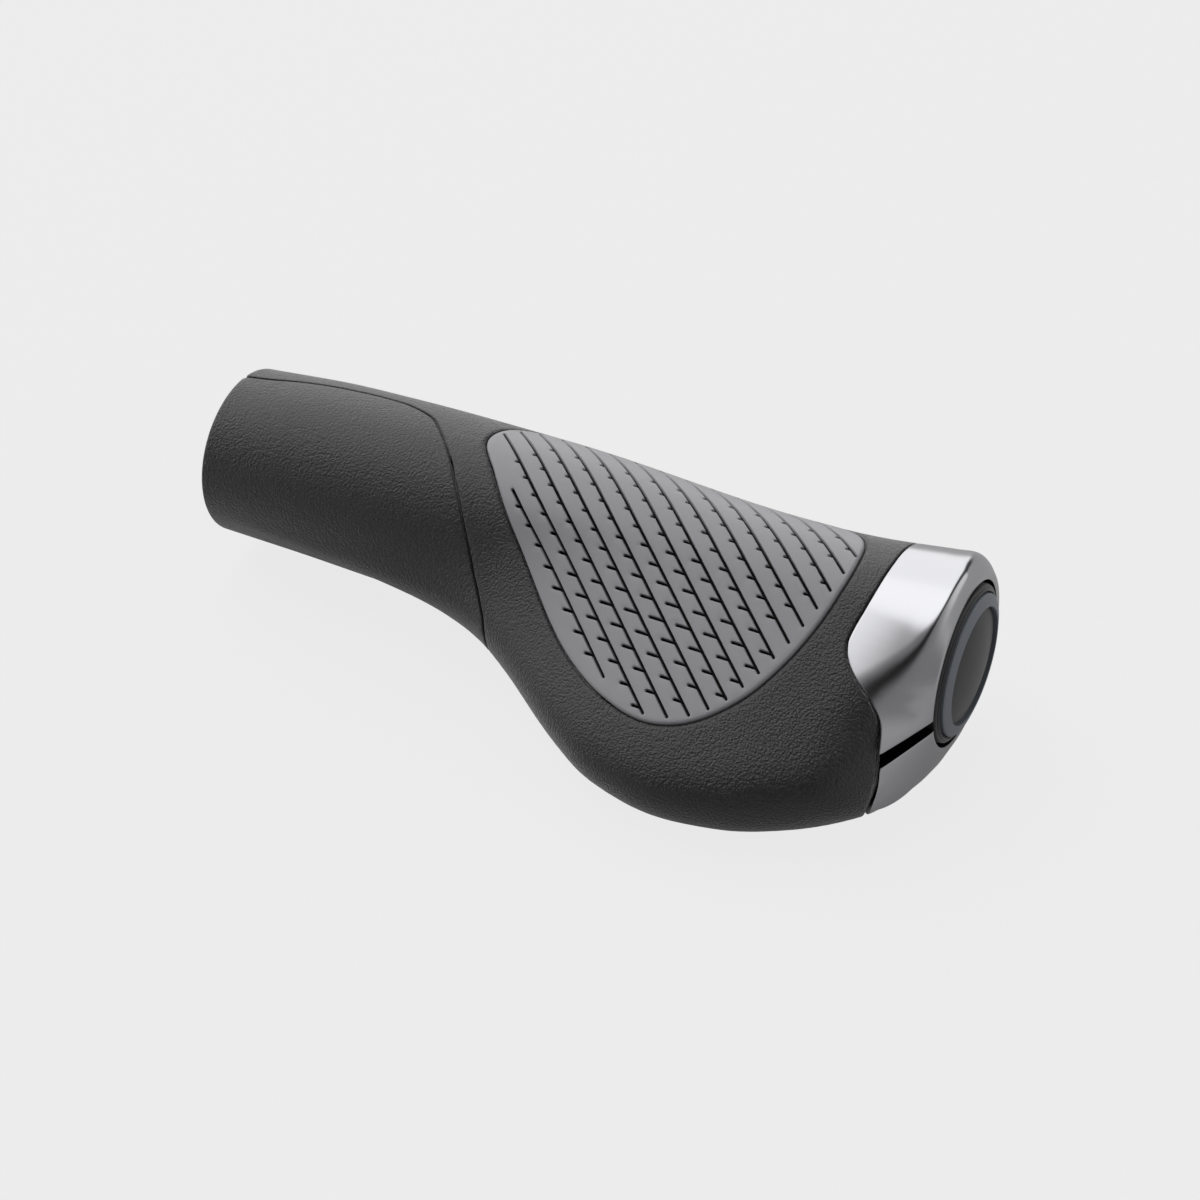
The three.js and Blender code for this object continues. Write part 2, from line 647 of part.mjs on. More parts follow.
// Finishes
const rubberBlack = { color: 0x2b2b2e, roughness: 0.75, metalness: 0 };
const finishes = {
  core_tube: { color: 0x1c1c1e, roughness: 0.55, metalness: 0 },
  barrel_cover: rubberBlack,
  wing_body: rubberBlack,
  tread_panel: { color: 0x8a898e, roughness: 0.6, metalness: 0 },
  clamp_collar: { color: 0xc9c9cc, roughness: 0.3, metalness: 1 },
  clamp_bolt: { color: 0x3a3a3c, roughness: 0.35, metalness: 1 },
  end_plug: { color: 0x3c3c3e, roughness: 0.5, metalness: 0 },
  plug_ring: { color: 0x6c737e, roughness: 0.4, metalness: 0 },
};
const bodies = {
  core_tube: coreTube,
  barrel_cover: barrelCover,
  wing_body: wingBody,
  tread_panel: treadPanel,
  clamp_collar: clampCollar,
  clamp_bolt: clampBolt,
  end_plug: endPlug,
  plug_ring: plugRing,
};

const group = new THREE.Group();
const drooped = new THREE.Group();
drooped.rotation.x = rad(DROOP_DEG);
group.add(drooped);
for (const [name, body] of Object.entries(bodies)) {
  const mesh = new THREE.Mesh(geometryOf(body), new THREE.MeshStandardMaterial(finishes[name]));
  mesh.name = name;
  drooped.add(mesh);
}

export default group;
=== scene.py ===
"""Looks of a right-hand wing grip for a bicycle handlebar.

Sizes are in millimetres, in the wing frame: x runs outboard along the bar, u towards the wing tip and
w up, with the wing lying flat. Angles are in degrees round the bar: 0 at the wing tip, 90 up, 180 on
the finger side. A place on the skin is (x, s), with s measured round the section from the top of the
barrel towards the wing. Meshes are written in metres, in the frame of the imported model.
"""

import logging
import math
from dataclasses import dataclass, field
from enum import Enum
from functools import partial
from typing import Callable

import bpy
import numpy as np
from mathutils import Matrix, Vector
from mathutils.geometry import delaunay_2d_cdt, tessellate_polygon


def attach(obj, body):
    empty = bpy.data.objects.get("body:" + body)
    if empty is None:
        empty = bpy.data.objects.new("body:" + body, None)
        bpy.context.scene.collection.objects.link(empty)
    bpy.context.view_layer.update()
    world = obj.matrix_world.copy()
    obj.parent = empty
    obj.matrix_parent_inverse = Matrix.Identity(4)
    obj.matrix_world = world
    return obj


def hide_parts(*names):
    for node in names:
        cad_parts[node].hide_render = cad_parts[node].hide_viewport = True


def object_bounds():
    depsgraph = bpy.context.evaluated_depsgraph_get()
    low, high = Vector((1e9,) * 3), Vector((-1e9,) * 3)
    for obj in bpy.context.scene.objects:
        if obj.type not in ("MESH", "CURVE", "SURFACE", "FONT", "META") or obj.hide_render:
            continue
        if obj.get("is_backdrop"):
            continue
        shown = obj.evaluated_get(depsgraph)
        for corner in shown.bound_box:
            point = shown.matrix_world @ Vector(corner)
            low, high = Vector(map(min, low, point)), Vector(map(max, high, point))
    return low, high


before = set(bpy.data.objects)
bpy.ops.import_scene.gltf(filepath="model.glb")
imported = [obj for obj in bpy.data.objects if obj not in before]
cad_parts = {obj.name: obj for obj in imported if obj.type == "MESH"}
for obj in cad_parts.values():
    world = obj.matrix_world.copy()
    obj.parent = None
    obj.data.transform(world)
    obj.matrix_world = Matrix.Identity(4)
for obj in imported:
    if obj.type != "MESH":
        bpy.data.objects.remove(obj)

log = logging.getLogger("grip")

MM = 0.001
BODY = "root"
Line = np.ndarray
DepthRule = Callable[[np.ndarray], np.ndarray]

# Depth below the skin at which a rounded edge counts as inside a gap, where it gets the full painted shade
GAP_DEPTH = 0.3
# Values of the attribute between which a finish turns from its own colour to its painted shade colour in gaps
PAINTED_SHADE_SPAN = (0.25, 0.75)
# Shares of a rounding at which the mesh gets a row of points
ROLL_STEPS = (0.1, 0.3, 0.6, 1.0)
EDGE_STEPS = (0.0, 0.04, 0.13, 0.3, 0.6, 1.0)
# Room between a rounded rim and the rows of points that run into it
ROW_CLEAR = 0.12
# Room between the model and the floor, in metres
FLOOR_DROP = 0.0005


class Slot(Enum):
    """Kinds of finish, by which the pieces take their materials."""

    NYLON = "core_nylon"
    GRIP = "grip_rubber"
    TREAD = "tread_rubber"
    ALUMINIUM = "collar_aluminium"
    STEEL = "bolt_steel"
    PLUG = "plug_plastic"
    RING = "ring_plastic"


def mix(a: float, b: float, t: float) -> float:
    """Returns the value a share t of the way from a to b."""
    return a + (b - a) * t


def smooth_step(x: np.ndarray, start: float, end: float) -> np.ndarray:
    """Eases from 0 at start to 1 at end.

    Args:
        x: Values to ease.
        start: Value where the ease begins.
        end: Value where the ease ends.

    Returns:
        Shares from 0 to 1.
    """
    t = np.clip((x - start) / (end - start), 0.0, 1.0)
    return t * t * (3.0 - 2.0 * t)


def rolled(distance: np.ndarray, radius: float) -> np.ndarray:
    """Depth of a rounded edge below the face that it ends.

    Args:
        distance: Distances from the edge, along the face.
        radius: Radius of the rounding.

    Returns:
        Depths: the radius at the edge, and 0 past the rounding.
    """
    inside = np.clip(distance, 0.0, radius)
    return radius - np.sqrt(np.maximum(radius**2 - (radius - inside) ** 2, 0.0))


def moved(line: Line, distance: float, closed: bool = False) -> Line:
    """Moves a line sideways.

    Args:
        line: Points (x, s), one a row.
        distance: How far to move it, to the left of its run when that is positive.
        closed: Whether the last point joins the first.

    Returns:
        The moved points.
    """
    if closed:
        run = np.roll(line, -1, axis=0) - np.roll(line, 1, axis=0)
    else:
        run = np.gradient(line, axis=0)
    run = run / np.linalg.norm(run, axis=1, keepdims=True)
    return line + distance * np.stack([-run[:, 1], run[:, 0]], axis=1)


def spaced(line: Line, step: float, closed: bool = False) -> Line:
    """Places points evenly along a line.

    Args:
        line: Points (x, s), one a row.
        step: Distance wanted between points.
        closed: Whether the last point joins the first.

    Returns:
        The evenly spaced points, with both ends of an open line kept.
    """
    points = np.vstack([line, line[:1]]) if closed else line
    run = np.concatenate([[0.0], np.cumsum(np.linalg.norm(np.diff(points, axis=0), axis=1))])
    count = max(2, int(round(run[-1] / step)))
    at = np.linspace(0.0, run[-1], count + 1)
    out = np.stack([np.interp(at, run, points[:, 0]), np.interp(at, run, points[:, 1])], axis=1)
    return out[:-1] if closed else out


def rounded_loop(corners: Line, per_span: int = 12) -> Line:
    """Draws a smooth closed loop through corner points, without overshoot.

    Args:
        corners: Points (x, s), one a row.
        per_span: Points made for each stretch between two corners.

    Returns:
        The points of the loop.
    """
    points = []
    for i in range(len(corners)):
        p0, p1, p2, p3 = (corners[(i + k) % len(corners)] for k in (-1, 0, 1, 2))
        d1, d2, d3 = (max(np.linalg.norm(b - a), 1e-6) ** 0.5 for a, b in ((p0, p1), (p1, p2), (p2, p3)))
        m1 = (p2 - p1) + d2 * ((p1 - p0) / d1 - (p2 - p0) / (d1 + d2))
        m2 = (p2 - p1) + d2 * ((p3 - p2) / d3 - (p3 - p1) / (d2 + d3))
        for t in np.arange(per_span) / per_span:
            points.append((2 * t**3 - 3 * t**2 + 1) * p1 + (t**3 - 2 * t**2 + t) * m1
                          + (3 * t**2 - 2 * t**3) * p2 + (t**3 - t**2) * m2)
    return np.array(points)


def distance_to(points: Line, starts: Line, ends: Line) -> np.ndarray:
    """Distance from each point to the nearest of a set of straight stretches.

    Args:
        points: Points (x, s), one a row.
        starts: First ends of the stretches.
        ends: Other ends of the stretches.

    Returns:
        One distance for each point.
    """
    run = ends - starts
    size = np.maximum((run**2).sum(axis=1), 1e-12)
    out = np.empty(len(points))
    for first in range(0, len(points), 2000):
        part = points[first:first + 2000, None, :] - starts[None, :, :]
        t = np.clip((part * run).sum(axis=2) / size, 0.0, 1.0)
        away = part - t[:, :, None] * run
        out[first:first + 2000] = np.sqrt((away**2).sum(axis=2).min(axis=1))
    return out


def distance_to_line(points: Line, line: Line, closed: bool = False) -> np.ndarray:
    """Distance from each point to a line, as distance_to gives it.

    Args:
        points: Points (x, s), one a row.
        line: Points of the line.
        closed: Whether the last point joins the first.

    Returns:
        One distance for each point.
    """
    ends = np.roll(line, -1, axis=0)
    return distance_to(points, line, ends) if closed else distance_to(points, line[:-1], ends[:-1])


def inside(points: Line, loop: Line) -> np.ndarray:
    """Tells which points lie inside a closed loop.

    Args:
        points: Points (x, s), one a row.
        loop: Points of the loop.

    Returns:
        One truth value for each point.
    """
    ends = np.roll(loop, -1, axis=0)
    hit = np.zeros(len(points), dtype=bool)
    for (x0, s0), (x1, s1) in zip(loop, ends):
        if s0 == s1:
            continue
        spans = (points[:, 1] >= min(s0, s1)) & (points[:, 1] < max(s0, s1))
        hit ^= spans & (points[:, 0] < x0 + (points[:, 1] - s0) * (x1 - x0) / (s1 - s0))
    return hit


@dataclass(frozen=True)
class Curve:
    """Smooth curve through knots (x, value) that never overshoots them."""

    knots: tuple[tuple[float, float], ...]

    def at(self, x: np.ndarray) -> np.ndarray:
        """Values of the curve.

        Args:
            x: Places along the curve.

        Returns:
            The value at each place.
        """
        xs, vs = np.array(self.knots, dtype=float).T
        step = np.diff(xs)
        rise = np.diff(vs) / step
        slope = np.concatenate([rise[:1], np.zeros(len(xs) - 2), rise[-1:]])
        for i in range(1, len(xs) - 1):
            if rise[i - 1] * rise[i] > 0:
                p, q = 2 * step[i] + step[i - 1], step[i] + 2 * step[i - 1]
                slope[i] = (p + q) / (p / rise[i - 1] + q / rise[i])
        i = np.clip(np.searchsorted(xs, x) - 1, 0, len(step) - 1)
        h = step[i]
        t = np.clip((x - xs[i]) / h, 0.0, 1.0)
        return (vs[i] * (1 + 2 * t) * (1 - t) ** 2 + slope[i] * h * t * (1 - t) ** 2
                + vs[i + 1] * t * t * (3 - 2 * t) + slope[i + 1] * h * t * t * (t - 1))


@dataclass
class GripSkin:
    """Outer skin of the whole grip: a barrel circle, a wing tip circle and the flats between them."""

    droop_deg: float = 16.0
    barrel_r_inboard: float = 14.5
    barrel_r_palm: float = 15.9
    barrel_r_outboard: float = 15.4
    collar_edge_r: float = 17.0
    collar_end_r: float = 17.3
    collar_rim_r: float = 14.3
    wing_start_x: float = 42.0
    wing_peak_x: float = 98.0
    wing_reach: float = 41.5
    wing_root_reach: float = 17.3
    collar_edge_reach: float = 26.9
    collar_end_reach: float = 23.4
    tip_r_root: float = 6.0
    tip_r_wing: float = 6.5
    tip_r_collar: float = 8.0
    swell: float = 0.7
    swell_deg: float = 149.0
    collar_edge_x: float = 131.0
    end_x: float = 134.0
    fold_knots: tuple[tuple[float, float], ...] = (
        (-180, 132.0), (-70, 132.6), (-45, 133.3), (-30, 133.3), (-20, 132.7), (-10, 130.9), (3, 128.5),
        (13, 126.8), (22, 126.0), (33, 127.2), (42, 128.7), (52, 130.0), (63, 131.4), (75, 132.3),
        (90, 132.8), (108, 132.9), (118, 132.3), (140, 131.8), (180, 132.0))
    fold_soft: tuple[tuple[float, float], ...] = (
        (-180, 1.2), (-60, 0.6), (-45, 0.4), (-25, 0.6), (0, 1.6), (13, 3.0), (33, 3.0), (42, 2.2), (54, 1.3),
        (70, 0.7), (90, 0.45), (118, 0.5), (150, 1.0), (180, 1.2))
    fold_lead: float = 2.5
    straight_x: float = 129.5
    straight_run: float = 1.5
    straight_rise: tuple[float, float] = (-0.6, 0.3)
    step_x: float = 0.25
    step_s: float = 0.1
    ease_wing: float = 1.8
    ease_collar: float = 0.35
    ease_deg: float = 2.0
    ease_span: tuple[float, float] = (113.0, 124.0)

    def __post_init__(self) -> None:
        """Works out the tables of radius, run round the section and angle."""
        self.xs = np.linspace(0.0, self.end_x, int(round(self.end_x / self.step_x)) + 1)
        self.degs = np.arange(330.0, -191.0, -1.0)
        whole = self._hull(self.xs[:, None], np.radians(np.arange(360.0))[None, :])
        whole = self._folded(self._eased(whole))
        self.table_r = whole[:, np.mod(self.degs, 360.0).astype(int)]
        angle = np.radians(self.degs)
        u, w = self.table_r * np.cos(angle), self.table_r * np.sin(angle)
        run = np.cumsum(np.hypot(np.diff(u, axis=1), np.diff(w, axis=1)), axis=1)
        run = np.hstack([np.zeros((len(self.xs), 1)), run])
        self.table_s = run - run[:, [int(self.degs[0] - 90.0)]]
        self.runs = np.arange(-80.0, 95.0, self.step_s)
        self.table_deg = np.array([np.interp(self.runs, row, self.degs) for row in self.table_s])

    def _curves(self) -> dict[str, Curve]:
        """Works out the curves of the section's sizes along the bar, from the driving sizes.

        Returns:
            The curves of the barrel's radius, the wing's reach, the tip's radius and the barrel's lift.
        """
        on_wing = partial(mix, self.wing_start_x, self.wing_peak_x)
        to_collar = partial(mix, self.wing_peak_x, self.collar_edge_x)
        reach_on = partial(mix, self.wing_root_reach, self.wing_reach)
        reach_to = partial(mix, self.wing_reach, self.collar_edge_reach)
        barrel = Curve((
            (0.0, self.barrel_r_inboard),
            (self.wing_start_x / 2, mix(self.barrel_r_inboard, self.barrel_r_palm, 0.7)),
            (self.wing_start_x, self.barrel_r_palm),
            (on_wing(0.7), mix(self.barrel_r_palm, self.barrel_r_outboard, 0.4)),
            (to_collar(0.42), self.barrel_r_outboard),
            (to_collar(0.9), mix(self.barrel_r_outboard, self.collar_edge_r, 0.7)),
            (self.collar_edge_x, self.collar_edge_r),
            (self.end_x, self.collar_end_r),
        ))
        reach = Curve((
            (0.0, self.barrel_r_inboard - 0.05),
            (self.wing_start_x / 2, mix(self.barrel_r_inboard, self.wing_root_reach, 0.3)),
            (self.wing_start_x, self.wing_root_reach),
            (on_wing(0.14), reach_on(0.066)),
            (on_wing(0.27), reach_on(0.17)),
            (on_wing(0.39), reach_on(0.33)),
            (on_wing(0.64), reach_on(0.727)),
            (on_wing(0.79), reach_on(0.91)),
            (self.wing_peak_x, self.wing_reach),
            (to_collar(0.33), reach_to(0.096)),
            (to_collar(0.61), reach_to(0.336)),
            (to_collar(0.91), reach_to(0.78)),
            (self.collar_edge_x, self.collar_edge_reach),
            (self.end_x, self.collar_end_reach),
        ))
        tip = Curve((
            (0.0, self.tip_r_root - 1.0),
            (self.wing_start_x, self.tip_r_root),
            (self.wing_peak_x, self.tip_r_wing),
            (self.end_x, self.tip_r_collar),
        ))
        lift = Curve((
            (0.0, 0.0),
            (self.wing_start_x / 2, self.swell),
            (on_wing(0.32), self.swell),
            (self.wing_peak_x, -self.swell),
            (self.collar_edge_x, self.swell / 2),
            (self.end_x, -self.swell / 2),
        ))
        return {"barrel": barrel, "reach": reach, "tip": tip, "lift": lift}

    def _hull(self, x: np.ndarray, angle: np.ndarray) -> np.ndarray:
        """Distance from the bar axis to the outline of a section.

        Args:
            x: Places along the bar, as a column.
            angle: Angles round the bar in radians, as a row.

        Returns:
            Table of radii, one row for each place.
        """
        curves = self._curves()
        barrel, reach, tip, lift = (curves[name].at(x) for name in ("barrel", "reach", "tip", "lift"))
        cu, cw = lift * math.cos(math.radians(self.swell_deg)), lift * math.sin(math.radians(self.swell_deg))
        tip_u = reach - tip
        dir_u, dir_w = np.cos(angle), np.sin(angle)

        def far_side(u: np.ndarray, w: np.ndarray, r: np.ndarray) -> np.ndarray:
            """Finds where the rays from the axis leave the circles.

            Args:
                u: Places of the middles towards the wing.
                w: Heights of the middles.
                r: Radii of the circles.

            Returns:
                Distances from the axis, 0 where a ray misses its circle.
            """
            along = dir_u * u + dir_w * w
            room = r * r - (u * u + w * w - along * along)
            return np.where(room > 0, along + np.sqrt(np.maximum(room, 0.0)), 0.0)

        best = np.maximum(far_side(cu, cw, barrel), far_side(tip_u, 0.0 * tip_u, tip))
        eu, ew = tip_u - cu, -cw
        apart = np.hypot(eu, ew)
        lean = np.arcsin(np.clip((barrel - tip) / np.maximum(apart, 1e-6), -1.0, 1.0))
        for side in (1.0, -1.0):
            normal = np.arctan2(ew, eu) + side * (math.pi / 2 - lean)
            nu, nw = np.cos(normal), np.sin(normal)
            facing = dir_u * nu + dir_w * nw
            r = (cu * nu + cw * nw + barrel) / np.maximum(facing, 1e-6)
            pu, pw = r * dir_u, r * dir_w
            past_barrel = (pu - cu - barrel * nu) * eu + (pw - cw - barrel * nw) * ew
            past_tip = (pu - tip_u - tip * nu) * eu + (pw - tip * nw) * ew
            flat = (facing > 1e-6) & (past_barrel >= 0) & (past_tip <= 0)
            flat &= apart > np.abs(barrel - tip) + 1e-6
            best = np.where(flat, np.maximum(best, r), best)
        return best

    def _eased(self, table: np.ndarray) -> np.ndarray:
        """Softens the lines where the circles and flats of the sections meet.

        Args:
            table: Radii at each place and each whole degree.

        Returns:
            The softened radii.
        """
        def blurred(rows: np.ndarray, sigma: float) -> np.ndarray:
            """Averages rows with their neighbours, as if the table ran straight on past its ends.

            Args:
                rows: Table with one row for each place along the bar.
                sigma: Spread of the average, in rows.

            Returns:
                The averaged table.
            """
            reach = int(math.ceil(3 * sigma))
            weight = np.exp(-0.5 * (np.arange(-reach, reach + 1) / sigma) ** 2)
            before = 2 * rows[:1] - rows[reach:0:-1]
            after = 2 * rows[-1:] - rows[-2:-reach - 2:-1]
            padded = np.vstack([before, rows, after])
            return np.array([np.convolve(column, weight / weight.sum(), "valid") for column in padded.T]).T

        reach = int(3 * self.ease_deg)
        weight = np.exp(-0.5 * (np.arange(-reach, reach + 1) / self.ease_deg) ** 2)
        weight /= weight.sum()
        round_eased = sum(w * np.roll(table, k, axis=1) for k, w in zip(range(-reach, reach + 1), weight))
        wide = blurred(round_eased, self.ease_wing / self.step_x)
        narrow = blurred(round_eased, self.ease_collar / self.step_x)
        share = smooth_step(self.xs, *self.ease_span)[:, None]
        return wide * (1.0 - share) + narrow * share

    def _folded(self, table: np.ndarray) -> np.ndarray:
        """Turns the collar's faces down outboard of the fold, to a round rim.

        Args:
            table: Radii at each place and each whole degree.

        Returns:
            The radii with the fold.
        """
        deg = (np.arange(360.0) + 180.0) % 360.0 - 180.0
        fold_x, soft = Curve(self.fold_knots).at(deg), Curve(self.fold_soft).at(deg)
        out = table.copy()
        for j in range(360):
            straight = min(fold_x[j], self.straight_x)
            start, before = np.interp([straight, straight - self.straight_run], self.xs, table[:, j])
            rise = np.clip(start - before, *self.straight_rise)
            line = start + rise * (self.xs - straight) / self.straight_run
            base = np.where(self.xs < straight, table[:, j], line)
            past = self.xs - fold_x[j]
            ramp = (past + np.sqrt(past**2 + soft[j] ** 2)) / 2
            ramp = ramp * smooth_step(past, -self.fold_lead * soft[j], 0.0)
            out[:, j] = base - (base[-1] - self.collar_rim_r) * ramp / ramp[-1]
        return out

    def _look_up(self, table: np.ndarray, x: np.ndarray, column: np.ndarray) -> np.ndarray:
        """Reads a table between its entries.

        Args:
            table: Table with one row for each place along the bar.
            x: Places along the bar.
            column: Columns, whole or not.

        Returns:
            The value for each pair.
        """
        row = np.clip(x / (self.xs[1] - self.xs[0]), 0.0, len(self.xs) - 1.001)
        column = np.clip(column, 0.0, table.shape[1] - 1.001)
        i, j = row.astype(int), column.astype(int)
        a, b = row - i, column - j
        return ((1 - a) * ((1 - b) * table[i, j] + b * table[i, j + 1])
                + a * ((1 - b) * table[i + 1, j] + b * table[i + 1, j + 1]))

    def radius(self, x: np.ndarray, deg: np.ndarray) -> np.ndarray:
        """Returns the distance from the bar axis to the skin."""
        return self._look_up(self.table_r, x, self.degs[0] - deg)

    def s_at(self, x: np.ndarray, deg: np.ndarray) -> np.ndarray:
        """Returns the run round the section from the top of the barrel to an angle."""
        return self._look_up(self.table_s, x, self.degs[0] - deg)

    def deg_at(self, x: np.ndarray, s: np.ndarray) -> np.ndarray:
        """Returns the angle that a run round the section gets to."""
        return self._look_up(self.table_deg, x, (s - self.runs[0]) / self.step_s)

    def point(self, x: np.ndarray, deg: np.ndarray, depth: np.ndarray | float = 0.0) -> np.ndarray:
        """Points on the skin, or below it.

        Args:
            x: Places along the bar.
            deg: Angles round the bar.
            depth: How far below the skin, square to it.

        Returns:
            Points (x, u, w), one a row.
        """
        def raw(px: np.ndarray, pdeg: np.ndarray) -> np.ndarray:
            """Returns points on the skin itself."""
            r = self.radius(px, pdeg)
            return np.stack([px, r * np.cos(np.radians(pdeg)), r * np.sin(np.radians(pdeg))], axis=-1)

        x, deg = np.broadcast_arrays(np.asarray(x, dtype=float), np.asarray(deg, dtype=float))
        h = 2.0 * self.step_x
        along = raw(np.clip(x + h, 0, self.end_x), deg) - raw(np.clip(x - h, 0, self.end_x), deg)
        across = raw(x, deg + 1.0) - raw(x, deg - 1.0)
        normal = np.cross(across, along)
        normal /= np.linalg.norm(normal, axis=-1, keepdims=True)
        return raw(x, deg) - np.asarray(depth)[..., None] * normal

    def world(self, points: np.ndarray) -> np.ndarray:
        """Turns points (x, u, w) in millimetres into the model's frame, in metres.

        Args:
            points: Points, one a row.

        Returns:
            Points (x, y, z), one a row.
        """
        c, s = math.cos(math.radians(self.droop_deg)), math.sin(math.radians(self.droop_deg))
        x, u, w = points[:, 0], points[:, 1], points[:, 2]
        return MM * np.stack([x, -u * c - w * s, -u * s + w * c], axis=1)


def new_piece(name: str, points: np.ndarray, faces: list[list[int]],
              sharp_deg: float = 35.0) -> bpy.types.Object:
    """Makes a mesh object with smooth faces, turned right side out.

    Args:
        name: Name of the object.
        points: Points (x, y, z) in metres, one a row.
        faces: Point numbers of each face.
        sharp_deg: Faces that meet at more than this angle keep a sharp edge.

    Returns:
        The new object, in the scene.
    """
    mesh = bpy.data.meshes.new(name)
    mesh.from_pydata([tuple(p) for p in points], [], faces)
    mesh.validate()
    fans = np.array([(face[0], face[k], face[k + 1]) for face in faces for k in range(1, len(face) - 1)])
    a, b, c = (np.asarray(points)[fans[:, i]] for i in range(3))
    if (a * np.cross(b, c)).sum() < 0:
        mesh.flip_normals()
    mesh.shade_smooth()
    mesh.set_sharp_from_angle(angle=math.radians(sharp_deg))
    piece = bpy.data.objects.new(name, mesh)
    bpy.context.scene.collection.objects.link(piece)
    return piece


def set_painted_shade(piece: bpy.types.Object, share: np.ndarray) -> None:
    """Writes how far each point of a mesh counts as inside a gap, and so how much painted shade it gets.

    Args:
        piece: The piece.
        share: Shares of painted shade from 0 to 1, one for each point.
    """
    attribute = piece.data.attributes.new("painted_shade", "FLOAT", "POINT")
    attribute.data.foreach_set("value", share)


@dataclass
class SkinPiece:
    """Closed piece whose outer face follows the skin inside a loop of (x, s) points.

    An attribute of its mesh says how far a point counts as inside a gap, from 0 to 1, and so how much
    painted shade it gets. The rule gaps gives it on the outer face, or else the depth of the point.
    """

    skin: GripSkin
    loop: Line
    rows: list[Line]
    depth: DepthRule
    inner: Callable[[np.ndarray, np.ndarray], np.ndarray]
    grid: float = 0.9
    clear: float = 0.4
    weld: dict[int, int] = field(default_factory=dict)
    gaps: DepthRule | None = None

    def _triangles(self) -> tuple[np.ndarray, list[tuple[int, int, int]]]:
        """Triangulates the loop with its rows and a grid between them.

        Returns:
            The points (x, s) and the triangles.
        """
        points = [self.loop]
        edges = [(i, (i + 1) % len(self.loop)) for i in range(len(self.loop))]
        count = len(self.loop)
        for row in self.rows:
            points.append(row)
            edges += [(count + i, count + i + 1) for i in range(len(row) - 1)]
            count += len(row)
        lines = np.vstack(points)
        starts = np.array([lines[a] for a, _ in edges])
        ends = np.array([lines[b] for _, b in edges])
        low, high = self.loop.min(axis=0), self.loop.max(axis=0)
        gx, gs = np.meshgrid(np.arange(low[0], high[0], self.grid), np.arange(low[1], high[1], self.grid))
        gx = gx + (np.arange(gx.shape[0]) % 2)[:, None] * self.grid / 2
        grid = np.stack([gx.ravel(), gs.ravel()], axis=1)
        grid = grid[inside(grid, self.loop)]
        grid = grid[distance_to(grid, starts, ends) > self.clear]
        cloud = np.vstack([lines, grid])
        verts, _, tris, origins, _, _ = delaunay_2d_cdt([Vector(p) for p in cloud], edges, [], 0, 1e-5)
        flat = np.array([tuple(v) for v in verts])
        number = {}
        for i, source in enumerate(origins):
            for j in source:
                number[j] = i
        same = {number[b]: number[a] for b, a in self.weld.items()}
        middle = np.array([flat[list(t)].mean(axis=0) for t in tris])
        kept = inside(middle, self.loop)
        faces = [tuple(same.get(i, i) for i in t) for t, keep in zip(tris, kept) if keep]
        faces = [t for t in faces if len(set(t)) == 3]
        used = sorted({i for t in faces for i in t})
        again = {old: new for new, old in enumerate(used)}
        return flat[used], [tuple(again[i] for i in t) for t in faces]

    def build(self, name: str, sharp_deg: float = 40.0) -> bpy.types.Object:
        """Builds the closed mesh: outer face, inner face and the walls between them.

        Args:
            name: Name of the object.
            sharp_deg: Angle over which an edge stays sharp.

        Returns:
            The new object.
        """
        flat, faces = self._triangles()
        deg = self.skin.deg_at(flat[:, 0], flat[:, 1])
        depths = self.depth(flat)
        outer = self.skin.point(flat[:, 0], deg, depths)
        inner = self.inner(flat, deg)
        count = len(flat)
        seen: dict[tuple[int, int], int] = {}
        for a, b, c in faces:
            for edge in ((a, b), (b, c), (c, a)):
                key = (min(edge), max(edge))
                seen[key] = seen.get(key, 0) + 1
        walls = []
        for a, b, c in faces:
            for i, j in ((a, b), (b, c), (c, a)):
                if seen[(min(i, j), max(i, j))] == 1:
                    walls.append([j, i, i + count, j + count])
        back = [[c + count, b + count, a + count] for a, b, c in faces]
        points = self.skin.world(np.vstack([outer, inner]))
        piece = new_piece(name, points, [list(t) for t in faces] + back + walls, sharp_deg)
        # Painted shade: by the rule or by depth on the outer face, and full on the inner face and the walls
        share = self.gaps(flat) if self.gaps else np.clip(depths / GAP_DEPTH, 0.0, 1.0)
        set_painted_shade(piece, np.concatenate([share, np.ones(count)]))
        log.info("%s: %d faces", name, len(piece.data.polygons))
        return piece


@dataclass
class Seam:
    """Line where the barrel cover meets the wing body, symmetrical about a line under the wing."""

    skin: GripSkin
    centre_deg: float = -25.0
    end_x: float = 60.0
    turn_l: float = 4.0
    half_deg: tuple[tuple[float, float], ...] = (
        (0, 138.7), (5, 141.3), (10, 145.5), (15, 148), (20, 149.6), (25, 150.7), (30, 149.8), (35, 144.8),
        (37.5, 140.4), (40, 132.5), (42.5, 123.8), (45, 114.1), (47.5, 101.7), (50, 88.3), (52.5, 71.1),
        (55, 52.8), (57.5, 41.6), (59, 36.1), (59.6, 30.6), (60, 24))
    gap: float = 0.4
    roll: float = 0.25
    step: float = 0.7
    branch_points: int = 80
    turn_points: int = 30
    end_points: int = 10

    def branch(self, side: float) -> Line:
        """Seam from the inboard end to its end under the wing, on one side.

        Args:
            side: 1 for the upper branch, -1 for the lower one.

        Returns:
            Points (x, angle), one a row.
        """
        half = Curve(self.half_deg)
        turn = self.end_x - self.turn_l
        rest = self.end_x - self.turn_l * (1 - np.linspace(0, 1, self.turn_points)) ** 2
        x = np.concatenate([np.linspace(0.0, turn, self.branch_points), rest])
        return np.stack([x, self.centre_deg + side * half.at(x)], axis=1)

    def whole(self) -> Line:
        """Whole seam in (x, s), up one branch and back down the other.

        Returns:
            Evenly spaced points (x, s), one a row.
        """
        upper, lower = self.branch(1.0), self.branch(-1.0)[::-1]
        end = np.linspace(upper[-1, 1], lower[0, 1], self.end_points)[1:-1]
        line = np.vstack([upper, np.stack([np.full(len(end), self.end_x), end], axis=1), lower])
        s = self.skin.s_at(line[:, 0], line[:, 1])
        return spaced(np.stack([line[:, 0], s], axis=1), self.step)


